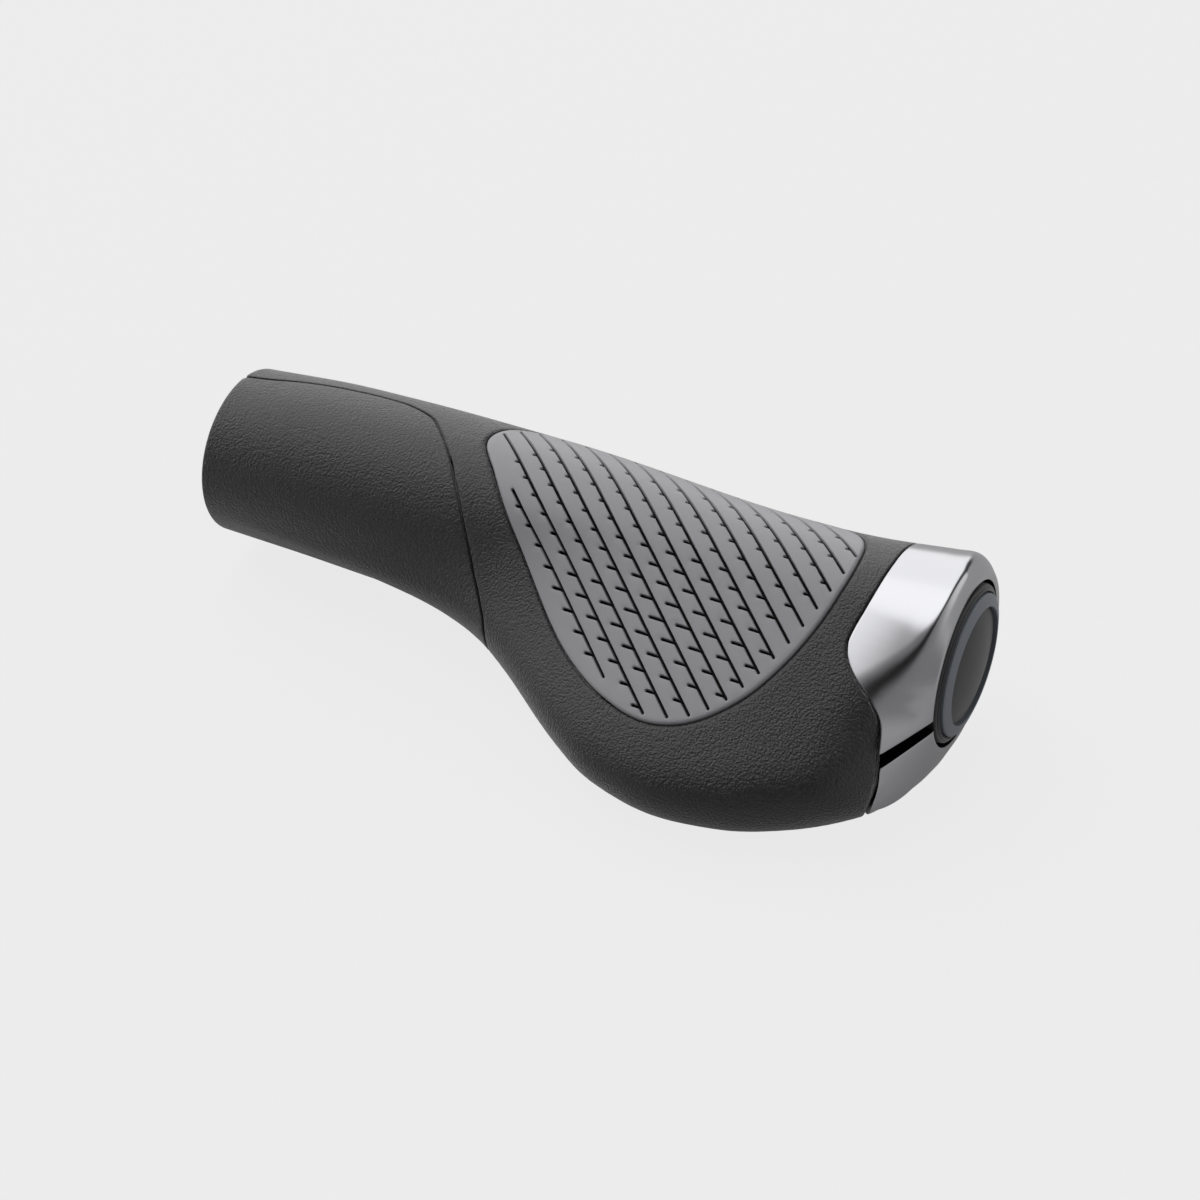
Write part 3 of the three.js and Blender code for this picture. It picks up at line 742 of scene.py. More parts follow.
@dataclass
class BarrelCover:
    """Rubber sleeve on the inboard part of the grip, with a rounded rim."""

    skin: GripSkin
    seam: Seam
    bore_r: float = 12.7
    rim_round: float = 0.4
    rim_points: int = 110
    rim_overlap: float = 0.6
    near_rim: int = 20

    def build(self) -> bpy.types.Object:
        """Builds the sleeve's mesh.

        Returns:
            The finished sleeve.
        """
        edge = moved(self.seam.whole(), self.seam.gap / 2)
        edge[0, 0] = edge[-1, 0] = 0.0
        rim_s = np.linspace(edge[-1, 1], edge[0, 1], self.rim_points)[1:-1]
        loop = np.vstack([edge, np.stack([np.zeros(len(rim_s)), rim_s], axis=1)])
        rows = [moved(edge, t * self.seam.roll) for t in ROLL_STEPS]
        rows = [row[row[:, 0] > self.rim_round + ROW_CLEAR] for row in rows]
        for t in ROLL_STEPS:
            x = t * self.rim_round
            upper, lower = edge[:self.near_rim], edge[-self.near_rim:][::-1]
            first, last = np.interp(x, lower[:, 0], lower[:, 1]), np.interp(x, upper[:, 0], upper[:, 1])
            s = np.linspace(first - self.rim_overlap, last + self.rim_overlap, self.rim_points)
            rows.append(np.stack([np.full(self.rim_points, x), s], axis=1))

        def depth(flat: np.ndarray) -> np.ndarray:
            """Depth of the rounded rim and of the rounded edge at the seam.

            Args:
                flat: Points (x, s), one a row.

            Returns:
                One depth for each point.
            """
            return (rolled(distance_to_line(flat, edge), self.seam.roll)
                    + rolled(flat[:, 0], self.rim_round))

        return SkinPiece(self.skin, loop, rows, depth, bored(self.bore_r)).build("barrel_cover_skin")


def bored(radius: float) -> Callable[[np.ndarray, np.ndarray], np.ndarray]:
    """Inner face of a piece that sits on a round tube.

    Args:
        radius: Radius of the bore.

    Returns:
        A rule that gives the points (x, u, w) of the bore under points of the skin.
    """
    def rule(flat: np.ndarray, deg: np.ndarray) -> np.ndarray:
        """Returns the points of the bore."""
        angle = np.radians(deg)
        return np.stack([flat[:, 0], radius * np.cos(angle), radius * np.sin(angle)], axis=1)

    return rule


@dataclass
class TreadOutline:
    """Outline of the tread panel on the skin, and the lip of the body round it."""

    corners: tuple[tuple[float, float], ...] = (
        (48.8, -7.5), (49.2, -4.7), (52.7, -0.3), (61, 9.7), (72.7, 22), (79.3, 27), (86, 30.3), (93.5, 31.9),
        (100, 30.2), (106.7, 24.3), (111.5, 16), (114.8, 6), (115.8, -2), (114.6, -8.4), (111, -12.4),
        (105, -14.8), (95, -15.2), (65, -15.2), (55, -14.4), (50.3, -11.3))
    gap: float = 0.28
    lip: float = 0.8
    lip_share: float = 0.5
    lip_clear: float = 0.1
    pocket: float = 1.85
    step: float = 0.6

    def loop(self, out: float = 0.0) -> Line:
        """Loop at a distance outside the outline.

        Args:
            out: How far outside it.

        Returns:
            Evenly spaced points (x, s), one a row.
        """
        return spaced(moved(rounded_loop(np.array(self.corners)), out, closed=True), self.step, closed=True)


@dataclass
class CollarEdge:
    """Line where the collar meets the wing body."""

    skin: GripSkin
    start_x: float = 120.8
    knots: tuple[tuple[float, float], ...] = (
        (-180, 0.3), (-110, 0.2), (-70, -0.8), (-48, -1.5), (-34, -0.3), (-20, 4.2), (-6, 8.1), (3, 8.6),
        (13, 8.1), (19, 7.5), (25, 6.5), (30, 5.2), (34.5, 3.4), (38.5, 1.5), (42.5, 0.1), (47.5, -0.9),
        (54, -1.4), (61, -1.2), (73, -0.6), (90, 0.0), (109, 0.3), (180, 0.3))
    gap: float = 0.32
    roll: float = 0.22

    def x_at(self, deg: np.ndarray) -> np.ndarray:
        """Returns the edge's place along the bar at an angle."""
        turned = np.mod(np.asarray(deg, dtype=float) + 180.0, 360.0) - 180.0
        return self.start_x + Curve(self.knots).at(turned)

    def line(self, start_deg: float, shift: float = 0.0) -> Line:
        """Edge once round the grip.

        Args:
            start_deg: Angle to start from, going down.
            shift: How far inboard of the edge's middle the line runs, on the skin.

        Returns:
            Points (x, angle), one a row.
        """
        deg = np.linspace(start_deg, start_deg - 360.0, 721)
        x = self.x_at(deg)
        s = self.skin.s_at(x, deg)
        out = moved(np.stack([x, s], axis=1), shift)
        return np.stack([out[:, 0], self.skin.deg_at(out[:, 0], out[:, 1])], axis=1)


@dataclass
class WingBody:
    """Rubber body with the palm wing, the tongue on the finger side and the pocket of the tread panel."""

    skin: GripSkin
    seam: Seam
    outline: TreadOutline
    edge: CollarEdge
    bore_r: float = 12.7
    rim_round: float = 0.4
    rim_points: int = 34
    rim_overlap: float = 0.5
    cut_deg: float = 270.0
    cut_near: tuple[float, ...] = (0.05, 0.12, 0.22, 0.36, 0.6)
    cut_inset: float = 1.2
    cut_rows: int = 70
    collar_step: float = 0.55
    lug_start_x: float = 119.3
    lug_cover: float = 1.5
    lug_u: tuple[float, float] = (10.85, 24.3)
    wall_step: float = 0.04

    def _collar_line(self) -> Line:
        """Draws the collar's side of the body, from one side of the cut to the other.

        Returns:
            Points (x, s), one a row.
        """
        line = self.edge.line(self.cut_deg, self.edge.gap / 2)
        s = self.skin.s_at(line[:, 0], line[:, 1])
        return spaced(np.stack([line[:, 0], s], axis=1), self.collar_step)

    def _seam_lines(self) -> tuple[Line, Line]:
        """Seam's side of the body, parted at the cut.

        Returns:
            The long line from the finger side over the top and under the wing to the cut, and the short
            line from the inboard end to the cut, both as points (x, s).
        """
        upper, lower = self.seam.branch(1.0), self.seam.branch(-1.0)
        at_cut = np.interp(self.cut_deg - 360.0, lower[:, 1], lower[:, 0])
        end = np.linspace(upper[-1, 1], lower[-1, 1], self.seam.end_points)[1:-1]
        past = lower[lower[:, 0] > at_cut][::-1]
        turn = np.stack([np.full(len(end), self.seam.end_x), end], axis=1)
        long_line = np.vstack([upper, turn, past, [[at_cut, self.cut_deg - 360.0]]])
        before = lower[lower[:, 0] < at_cut]
        short_line = np.vstack([before, [[at_cut, self.cut_deg - 360.0]]])
        short_line[:, 1] += 360.0
        lines = []
        for line, side in ((long_line, -1.0), (short_line, 1.0)):
            flat = np.stack([line[:, 0], self.skin.s_at(line[:, 0], line[:, 1])], axis=1)
            lines.append(moved(spaced(flat, self.seam.step), side * self.seam.gap / 2))
        return lines[0], lines[1]

    def build(self) -> bpy.types.Object:
        """Builds the body's mesh, with its two sides welded at a cut straight below the barrel.

        Returns:
            The finished body.
        """
        long_line, short_line = self._seam_lines()
        long_line[0, 0] = short_line[0, 0] = 0.0
        collar = self._collar_line()
        cut_start = 0.5 * (long_line[-1, 0] + short_line[-1, 0])
        cut_end = 0.5 * (collar[0, 0] + collar[-1, 0])
        near = np.array(self.cut_near)
        along = np.linspace(cut_start + self.cut_inset, cut_end - self.cut_inset, self.cut_rows)
        cut_x = np.concatenate([[cut_start], cut_start + near, along, cut_end - near[::-1], [cut_end]])
        low = np.stack([cut_x, self.skin.s_at(cut_x, np.full(len(cut_x), self.cut_deg - 360.0))], axis=1)
        high = np.stack([cut_x, self.skin.s_at(cut_x, np.full(len(cut_x), self.cut_deg))], axis=1)
        rim_s = np.linspace(short_line[0, 1], long_line[0, 1], self.rim_points)[1:-1]
        rim = np.stack([np.zeros(len(rim_s)), rim_s], axis=1)
        parts = [long_line[:-1], low, collar[::-1][1:-1], high[::-1], short_line[::-1][1:], rim]
        first = [0, *np.cumsum([len(p) for p in parts])]
        loop = np.vstack(parts)
        weld = {first[3] + len(high) - 1 - k: first[1] + k for k in range(len(low))}

        seam_rows = [moved(line, side * t * self.seam.roll) for t in ROLL_STEPS
                     for line, side in ((long_line, -1.0), (short_line, 1.0))]
        rows = [row[(row[:, 0] > self.rim_round + ROW_CLEAR)][:-2] for row in seam_rows]
        rows += [moved(collar, t * self.edge.roll)[2:-2] for t in ROLL_STEPS]
        for t in ROLL_STEPS:
            x = t * self.rim_round
            first, last = short_line[0, 1] + self.rim_overlap, long_line[0, 1] - self.rim_overlap
            s = np.linspace(first, last, self.rim_points)
            rows.append(np.stack([np.full(self.rim_points, x), s], axis=1))
        pocket_edge = self.outline.loop(self.outline.gap)
        for out in (-self.wall_step, 0.0, *(t * self.outline.lip for t in ROLL_STEPS)):
            ring = self.outline.loop(self.outline.gap + out)
            rows.append(np.vstack([ring, ring[:1]]))

        def depth(flat: np.ndarray) -> np.ndarray:
            """Depth of the rounded edges, the lip and the pocket.

            Args:
                flat: Points (x, s), one a row.

            Returns:
                One depth for each point.
            """
            at_seam = np.minimum(distance_to_line(flat, long_line), distance_to_line(flat, short_line))
            out = rolled(at_seam, self.seam.roll) + rolled(flat[:, 0], self.rim_round)
            out = np.maximum(out, rolled(distance_to_line(flat, collar), self.edge.roll))
            away = distance_to_line(flat, pocket_edge, closed=True)
            within = inside(flat, pocket_edge) & (away > self.wall_step / 2)
            lip = self.outline.lip_share * rolled(away, self.outline.lip)
            return np.where(within, self.outline.pocket, np.maximum(out, lip))

        def gaps(flat: np.ndarray) -> np.ndarray:
            """Share of painted shade in the pocket and at the rounded edges at the seam and the collar.

            Args:
                flat: Points (x, s), one a row.

            Returns:
                1 in the pocket, and up to 1 at the edges.
            """
            away = distance_to_line(flat, pocket_edge, closed=True)
            within = inside(flat, pocket_edge) & (away > self.wall_step / 2)
            on_lip = away < self.outline.lip + self.outline.lip_clear
            edges = np.where(on_lip, 0.0, depth(flat) / GAP_DEPTH)
            return np.where(within, 1.0, np.clip(edges, 0.0, 1.0))

        def inner(flat: np.ndarray, deg: np.ndarray) -> np.ndarray:
            """Bore of the body, opened out where the collar's lug sits.

            Args:
                flat: Points (x, s), one a row.
                deg: Their angles.

            Returns:
                Points (x, u, w) of the inner face, one a row.
            """
            angle = np.radians(deg)
            radius = np.full(len(flat), self.bore_r)
            under = self.skin.radius(flat[:, 0], deg) - self.lug_cover
            reach = np.minimum(under, self.lug_u[1] / np.maximum(np.cos(angle), 1e-3))
            in_lug = (flat[:, 0] > self.lug_start_x) & (radius * np.cos(angle) > self.lug_u[0])
            radius = np.where(in_lug, np.maximum(reach, radius), radius)
            return np.stack([flat[:, 0], radius * np.cos(angle), radius * np.sin(angle)], axis=1)

        piece = SkinPiece(self.skin, loop, rows, depth, inner, weld=weld, gaps=gaps)
        return piece.build("wing_body_skin")


@dataclass
class TreadPanel:
    """Rubber inlay with slanting grooves and their ticks."""

    skin: GripSkin
    outline: TreadOutline
    proud: float = 0.1
    thickness: float = 1.6
    edge_roll: float = 0.5
    groove_pitch: float = 4.6
    groove_first_x: float = 55.0
    groove_slant: float = 1.087
    groove_start: float = 2.6
    groove_ends: tuple[float, ...] = (
        27.2, 30.8, 30.2, 28.9, 27, 24.7, 22, 19.2, 16.2, 13.2, 10, 6.7, 3.4, -0.1, -4)
    groove_half: float = 0.25
    groove_depth: float = 0.8
    groove_inset: float = 1.35
    shoulder: float = 0.12
    wall_edges: tuple[float, float] = (-0.05, 0.02)
    floor_edge: float = -0.03
    floor_slack: float = 0.01
    stroke_step: float = 0.9
    tick_row_s: float = 10.1
    tick_pitch_round: float = 2.55
    tick_pitch_flat: float = 2.85
    tick_half: float = 0.26
    tick_clear: tuple[float, float] = (2.0, 5.0)
    tick_end_clear: float = 0.3
    tick_rows: tuple[int, int] = (-8, 8)
    tick_longest: float = 2.6
    tick_shortest: float = 0.8
    tick_longest_at: tuple[float, float] = (92.0, 16.1)
    tick_fade: tuple[float, float] = (0.04, 0.09)

    def _strokes(self) -> tuple[Line, Line, np.ndarray]:
        """Middle lines of the grooves and ticks.

        Returns:
            The starts, the ends and the half widths.
        """
        loop = self.outline.loop(-self.groove_inset)
        ends = np.roll(loop, -1, axis=0)
        starts_out, ends_out, halves = [], [], []
        for k, s1 in enumerate(self.groove_ends):
            x0 = self.groove_first_x + self.groove_pitch * k
            side_a = loop[:, 0] - self.groove_slant * loop[:, 1] - x0
            side_b = ends[:, 0] - self.groove_slant * ends[:, 1] - x0
            hits = [a[1] + (b[1] - a[1]) * p / (p - q)
                    for a, b, p, q in zip(loop, ends, side_a, side_b) if p * q < 0]
            s0 = min(hits) if k else self.groove_start
            clear = self.tick_clear[1 if k else 0]
            starts_out.append([x0 + self.groove_slant * s0, s0])
            ends_out.append([x0 + self.groove_slant * s1, s1])
            halves.append(self.groove_half)
            for row in range(*self.tick_rows):
                pitch = self.tick_pitch_round if row < 0 else self.tick_pitch_flat
                s = self.tick_row_s + row * pitch
                if s < s0 + clear or s > s1 - self.tick_end_clear:
                    continue
                x = x0 + self.groove_slant * s
                (peak_x, peak_s), (fade_x, fade_s) = self.tick_longest_at, self.tick_fade
                fade = fade_x * abs(x - peak_x) + fade_s * abs(s - peak_s)
                length = max(self.tick_shortest, self.tick_longest - fade)
                starts_out.append([x, s])
                ends_out.append([x - length, s])
                halves.append(self.tick_half)
        return np.array(starts_out), np.array(ends_out), np.array(halves)

    def _capsule(self, a: np.ndarray, b: np.ndarray, half: float) -> Line:
        """Outline of a stroke with round ends.

        Args:
            a: One end of its middle line.
            b: The other end.
            half: Half its width.

        Returns:
            Points of the outline, the first one repeated at the end.
        """
        run = (b - a) / np.linalg.norm(b - a)
        side = np.array([-run[1], run[0]])
        count = max(2, int(np.linalg.norm(b - a) / self.stroke_step))
        along = np.linspace(0, 1, count + 1)[:, None]
        arc = np.radians(np.arange(30, 180, 30))
        far_end = b + half * (np.outer(np.cos(arc), side) + np.outer(np.sin(arc), run))
        near_end = a - half * (np.outer(np.cos(arc), side) + np.outer(np.sin(arc), run))
        points = np.vstack([a + (b - a) * along + half * side, far_end,
                            b + (a - b) * along - half * side, near_end])
        return np.vstack([points, points[:1]])

    def build(self) -> bpy.types.Object:
        """Builds the panel's mesh.

        Returns:
            The finished panel.
        """
        loop = self.outline.loop()
        starts, ends, halves = self._strokes()
        rows = []
        for t in ROLL_STEPS:
            ring = self.outline.loop(-t * self.edge_roll)
            rows.append(np.vstack([ring, ring[:1]]))
        for a, b, half in zip(starts, ends, halves):
            for out in (*self.wall_edges, 0.5 * self.shoulder, self.shoulder):
                rows.append(self._capsule(a, b, half + out))

        def depth(flat: np.ndarray) -> np.ndarray:
            """Depth of the rounded edge, the grooves and the ticks.

            Args:
                flat: Points (x, s), one a row.

            Returns:
                One depth for each point.
            """
            edge = distance_to_line(flat, loop, closed=True)
            out = rolled(edge, self.edge_roll) - self.proud
            for half in (self.groove_half, self.tick_half):
                which = halves == half
                away = distance_to(flat, starts[which], ends[which]) - half
                soft = rolled(away, self.shoulder) - self.proud
                out = np.where(away < self.shoulder, np.maximum(out, soft), out)
                out = np.where(away < self.floor_edge, np.maximum(out, self.groove_depth), out)
            return out

        def gaps(flat: np.ndarray) -> np.ndarray:
            """Returns 1 in the grooves and ticks, where the panel gets painted shade."""
            return (depth(flat) > self.groove_depth - self.floor_slack).astype(float)

        def inner(flat: np.ndarray, deg: np.ndarray) -> np.ndarray:
            """Returns the underside of the panel."""
            return self.skin.point(flat[:, 0], deg, np.full(len(flat), self.thickness))

        piece = SkinPiece(self.skin, loop, rows, depth, inner, grid=1.0, clear=0.3, gaps=gaps)
        return piece.build("tread_panel_skin", sharp_deg=50.0)


@dataclass
class ClampCollar:
    """Aluminium collar, split on the rider's side, with its lug inside the wing."""

    skin: GripSkin
    edge: CollarEdge
    wrap_deg: float = 170.0
    split_deg: float = 9.3
    split_w: float = 1.2
    split_flare: float = 0.08
    bore_r: float = 11.15
    pocket_r: float = 13.6
    pocket_x: float = 131.0
    lug_start_x: float = 119.6
    lug_cover: float = 1.8
    lug_reach: float = 24.0
    lug_wall: float = 1.2
    lug_half_w: float = 9.0
    sleeve_r: float = 13.2
    rim_round: float = 0.25
    rim_tilt: float = 0.2
    rim_tilt_deg: float = 20.0
    bolt_x: float = 127.0
    bolt_u: float = 16.5
    bolt_pocket: tuple[tuple[float, float], ...] = ((4.55, -24.0), (4.55, -3.5))
    bolt_sides: int = 64
    skin_rows: int = 70
    columns: int = 420
    slit_edge: tuple[tuple[float, float], ...] = ((0.0, 0.3), (0.0012, 0.12), (0.0028, 0.03))
    slit_inset: float = 0.005
    slit_fade_deg: float = 20.0
    lug_step: float = 0.05
    mouth_edge: tuple[float, float] = (0.04, 0.15)
    inner_points: int = 8
    # Points at the inner end of each section that get painted shade
    painted_shade_points: int = 6

    def _profile(self, deg: float) -> tuple[np.ndarray, np.ndarray]:
        """Closed section of the collar at an angle.

        Args:
            deg: Angle round the bar.

        Returns:
            Places along the bar and radii of the section's corners.
        """
        deg = (deg + self.wrap_deg) % 360.0 - self.wrap_deg
        start = float(np.interp(-deg, -self.start_line[:, 1], self.start_line[:, 0]))
        lean = math.cos(math.radians(deg - self.rim_tilt_deg))
        roll, rim, end = self.edge.roll, self.rim_round, self.skin.end_x - self.rim_tilt * (1.0 - lean)
        shares = np.array(EDGE_STEPS)
        x = np.concatenate([start + roll * shares,
                            np.linspace(start + roll, end - rim, self.skin_rows)[1:],
                            end - rim * shares[-2::-1]])
        depth = rolled(x - start, roll) + rolled(end - x, rim)
        r = self.skin.radius(x, np.full(len(x), deg)) - depth
        under = float(self.skin.radius(np.array([start]), np.array([deg]))[0])
        u_dir = math.cos(math.radians(deg))
        lug = under - self.lug_cover
        in_lug = u_dir > 0 and self.bore_r + self.lug_wall < lug and self.bore_r * u_dir > self.lug_half_w
        lug_x = min(self.lug_start_x, start - self.lug_step) if in_lug else start
        lug_r = min(under - self.lug_wall, self.sleeve_r)
        if in_lug:
            lug_r = min(lug, self.lug_reach / max(u_dir, 0.01))
        near, far = self.mouth_edge
        inner_x = [end, end - near, end - far, self.pocket_x, self.pocket_x, lug_x, lug_x, start]
        inner_r = [self.pocket_r + far, self.pocket_r + near, self.pocket_r, self.pocket_r, self.bore_r,
                   self.bore_r, lug_r, lug_r]
        return np.concatenate([x, inner_x]), np.concatenate([r, inner_r])

    def build(self) -> bpy.types.Object:
        """Builds the collar's mesh: one section after another from one wall of the slit to the other.

        Returns:
            The finished collar.
        """
        self.start_line = self.edge.line(360.0 - self.wrap_deg, -self.edge.gap / 2)
        points = []
        steps = self.slit_edge
        between = list(np.linspace(self.slit_inset, 1 - self.slit_inset, self.columns))
        shares = [s for s, _ in steps] + between + [1 - s for s, _ in steps[::-1]]
        sinks = [d for _, d in steps] + [0.0] * self.columns + [d for _, d in steps[::-1]]
        for c, sink in zip(shares, sinks):
            deg = self.split_deg + 360.0 * c
            x, r = self._profile(deg)
            outer = np.arange(len(x)) < len(x) - self.inner_points
            r = r - sink * outer
            lean = np.degrees(np.arcsin((self.split_w + self.split_flare * r) / 2 / r))
            past = self.slit_fade_deg - 360 * np.array([c, 1 - c])
            near, far = smooth_step(past, 0, self.slit_fade_deg)
            angle = np.radians(deg + lean * (near - far))
            points.append(np.stack([x, r * np.cos(angle), r * np.sin(angle)], axis=1))
        count = len(points[0])
        faces = []
        for i in range(len(points) - 1):
            for j in range(count):
                k = (j + 1) % count
                faces.append([i * count + j, i * count + k, (i + 1) * count + k, (i + 1) * count + j])
        for i, flip in ((0, False), (len(points) - 1, True)):
            cap = [Vector((p[0], math.hypot(p[1], p[2]), 0.0)) for p in points[i]]
            for tri in tessellate_polygon([cap]):
                tri = list(tri)
                faces.append([i * count + t for t in (tri[::-1] if flip else tri)])
        piece = new_piece("clamp_collar_skin", self.skin.world(np.vstack(points)), faces, 30.0)
        # Painted shade on the walls of the slit and on the collar's inner faces
        dark = np.zeros((len(points), count))
        dark[[0, -1]] = 1.0
        dark[:, -self.painted_shade_points:] = 1.0
        set_painted_shade(piece, dark.ravel())
        self._cut_bolt_pocket(piece)
        log.info("clamp_collar_skin: %d faces", len(piece.data.polygons))
        return piece

    def _cut_bolt_pocket(self, piece: bpy.types.Object) -> None:
        """Cuts the pocket of the bolt's head into the collar, from below.

        Args:
            piece: The collar.
        """
        angle = np.linspace(0.0, 2 * math.pi, self.bolt_sides, endpoint=False)
        points = np.vstack([np.stack([self.bolt_x + r * np.cos(angle), self.bolt_u + r * np.sin(angle),
                                      np.full(self.bolt_sides, w)], axis=1) for r, w in self.bolt_pocket])
        faces = [list(range(self.bolt_sides))[::-1]]
        for i in range(len(self.bolt_pocket) - 1):
            for k in range(self.bolt_sides):
                n = (k + 1) % self.bolt_sides
                a, b = i * self.bolt_sides, (i + 1) * self.bolt_sides
                faces.append([a + k, a + n, b + n, b + k])
        faces.append(list(range(len(points) - self.bolt_sides, len(points))))
        cutter = new_piece("bolt_cutter", self.skin.world(points), faces)
        # Painted shade in the bolt pocket: the cutter's faces carry it into the collar
        set_painted_shade(cutter, np.ones(len(points)))
        cut = piece.modifiers.new("bolt_pocket", "BOOLEAN")
        cut.object, cut.operation, cut.solver = cutter, "DIFFERENCE", "EXACT"
        bpy.context.view_layer.update()
        mesh = bpy.data.meshes.new_from_object(piece.evaluated_get(bpy.context.evaluated_depsgraph_get()))
        piece.modifiers.clear()
        piece.data = mesh
        bpy.data.objects.remove(cutter)


@dataclass
class EndPlug:
    """Dark cap with a domed flange, a proud ring and a sunk disc."""

    skin: GripSkin
    flange_r: float = 12.95
    apex_x: float = 136.44
    dome_r: float = 35.0
    back_x: float = 131.3
    step_r: float = 12.35
    step_depth: float = 0.14
    ring_in: float = 9.66
    ring_out: float = 11.64
    ring_proud: float = 0.3
    ring_depth: float = 0.7
    ring_edge: float = 0.12
    channel_depth: float = 0.9
    groove: float = 0.3
    disc_gap: float = 0.2
    disc_edge: float = 0.1
    channel_edge: tuple[float, float] = (0.08, 0.1)
    step_edge: float = 0.06
    step_slope: float = 0.01
    disc_sink: float = 0.5
    stem_r: float = 8.3
    stem_l: float = 12.0
    hollow_r: float = 5.0
    hollow_l: float = 10.0
    sides: int = 160

    def dome_x(self, r: float, offset: float = 0.0) -> float:
        """Returns the place of the dome's face at a radius, moved outboard by an offset."""
        return self.apex_x + offset - self.dome_r + math.sqrt(self.dome_r**2 - r**2)

    def _turned(self, name: str, profile: list[tuple[float, float]], closed: bool) -> bpy.types.Object:
        """Turns a profile about the bar axis.

        Args:
            name: Name of the object.
            profile: Corners (radius, x).
            closed: Whether the last corner joins the first. An open profile starts and ends on the axis.

        Returns:
            The new object.
        """
        points: list[tuple[float, float, float]] = []
        rings: list[list[int]] = []
        for r, x in profile:
            if r < 1e-9:
                rings.append([len(points)] * self.sides)
                points.append((x, 0.0, 0.0))
                continue
            rings.append(list(range(len(points), len(points) + self.sides)))
            for k in range(self.sides):
                angle = 2 * math.pi * k / self.sides
                points.append((x, r * math.cos(angle), r * math.sin(angle)))
        faces = []
        pairs = list(zip(rings, rings[1:])) + ([(rings[-1], rings[0])] if closed else [])
        for a, b in pairs:
            for k in range(self.sides):
                n = (k + 1) % self.sides
                corners = [a[k], a[n], b[n], b[k]]
                face = [c for i, c in enumerate(corners) if c not in corners[:i]]
                faces.append(face)
        return new_piece(name, self.skin.world(np.array(points)), faces, 30.0)

    def build_cap(self) -> bpy.types.Object:
        """Builds the cap: a sunk disc, a channel for the ring, a stepped flange and a hollow stem.

        Returns:
            The cap with its stem.
        """
        disc_r, groove_r = self.ring_in - self.disc_gap, self.ring_out + self.groove
        floor_x, edge = self.dome_x(self.ring_out) - self.channel_depth, self.step_edge
        disc_edge_x = self.dome_x(disc_r, -self.disc_sink) - self.disc_edge
        lead, drop = self.channel_edge
        out = [(0.0, self.dome_x(0.0, -self.disc_sink))]
        out += [(r, self.dome_x(r, -self.disc_sink)) for r in np.linspace(1.0, disc_r - self.disc_edge, 10)]
        out += [(disc_r, disc_edge_x), (disc_r, floor_x), (groove_r, floor_x)]
        out += [(groove_r, self.dome_x(groove_r) - drop), (groove_r + lead, self.dome_x(groove_r))]
        step_x = self.dome_x(self.step_r)
        out += [(self.step_r - edge, step_x), (self.step_r, step_x - edge)]
        shoulder_x = self.dome_x(self.step_r, -self.step_depth)
        out += [(self.step_r + self.step_slope, shoulder_x)]
        turn = self.flange_r - self.step_r - edge
        out += [(self.step_r + edge + turn * math.sin(math.radians(a)),
                 shoulder_x - turn * (1 - math.cos(math.radians(a)))) for a in range(0, 91, 15)]
        out += [(self.flange_r, self.back_x)]
        end = self.back_x - self.stem_l
        out += [(self.stem_r, self.back_x), (self.stem_r, end), (self.hollow_r, end)]
        out += [(self.hollow_r, end + self.hollow_l), (0.0, end + self.hollow_l)]
        return self._turned("end_plug_cap", out, closed=False)

    def build_ring(self) -> bpy.types.Object:
        """Builds the ring, which stands proud of its channel.

        Returns:
            The ring set in the cap.
        """
        base, edge = self.dome_x(self.ring_out) - self.ring_depth, self.ring_edge
        radii = np.linspace(self.ring_in + edge, self.ring_out - edge, 6)
        face = [(r, self.dome_x(r, self.ring_proud)) for r in radii]
        out = [(self.ring_in, base), (self.ring_in, face[0][1] - edge), *face]
        out += [(self.ring_out, face[-1][1] - edge), (self.ring_out, base)]
        return self._turned("plug_ring_band", out, closed=True)


def add_node(tree: bpy.types.NodeTree, kind: str, inputs: dict[str | int, object],
             **settings: str) -> bpy.types.Node:
    """Adds a node to a tree.

    Args:
        tree: The node tree.
        kind: Type of the node, without the prefix that all of them have.
        inputs: The value of an input, or the socket that is linked to it.
        settings: Settings of the node, made before its inputs.

    Returns:
        The new node.
    """
    node = tree.nodes.new("ShaderNode" + kind)
    for name, value in settings.items():
        setattr(node, name, value)
    for name, value in inputs.items():
        if isinstance(value, bpy.types.NodeSocket):
            tree.links.new(value, node.inputs[name])
        else:
            node.inputs[name].default_value = value
    return node


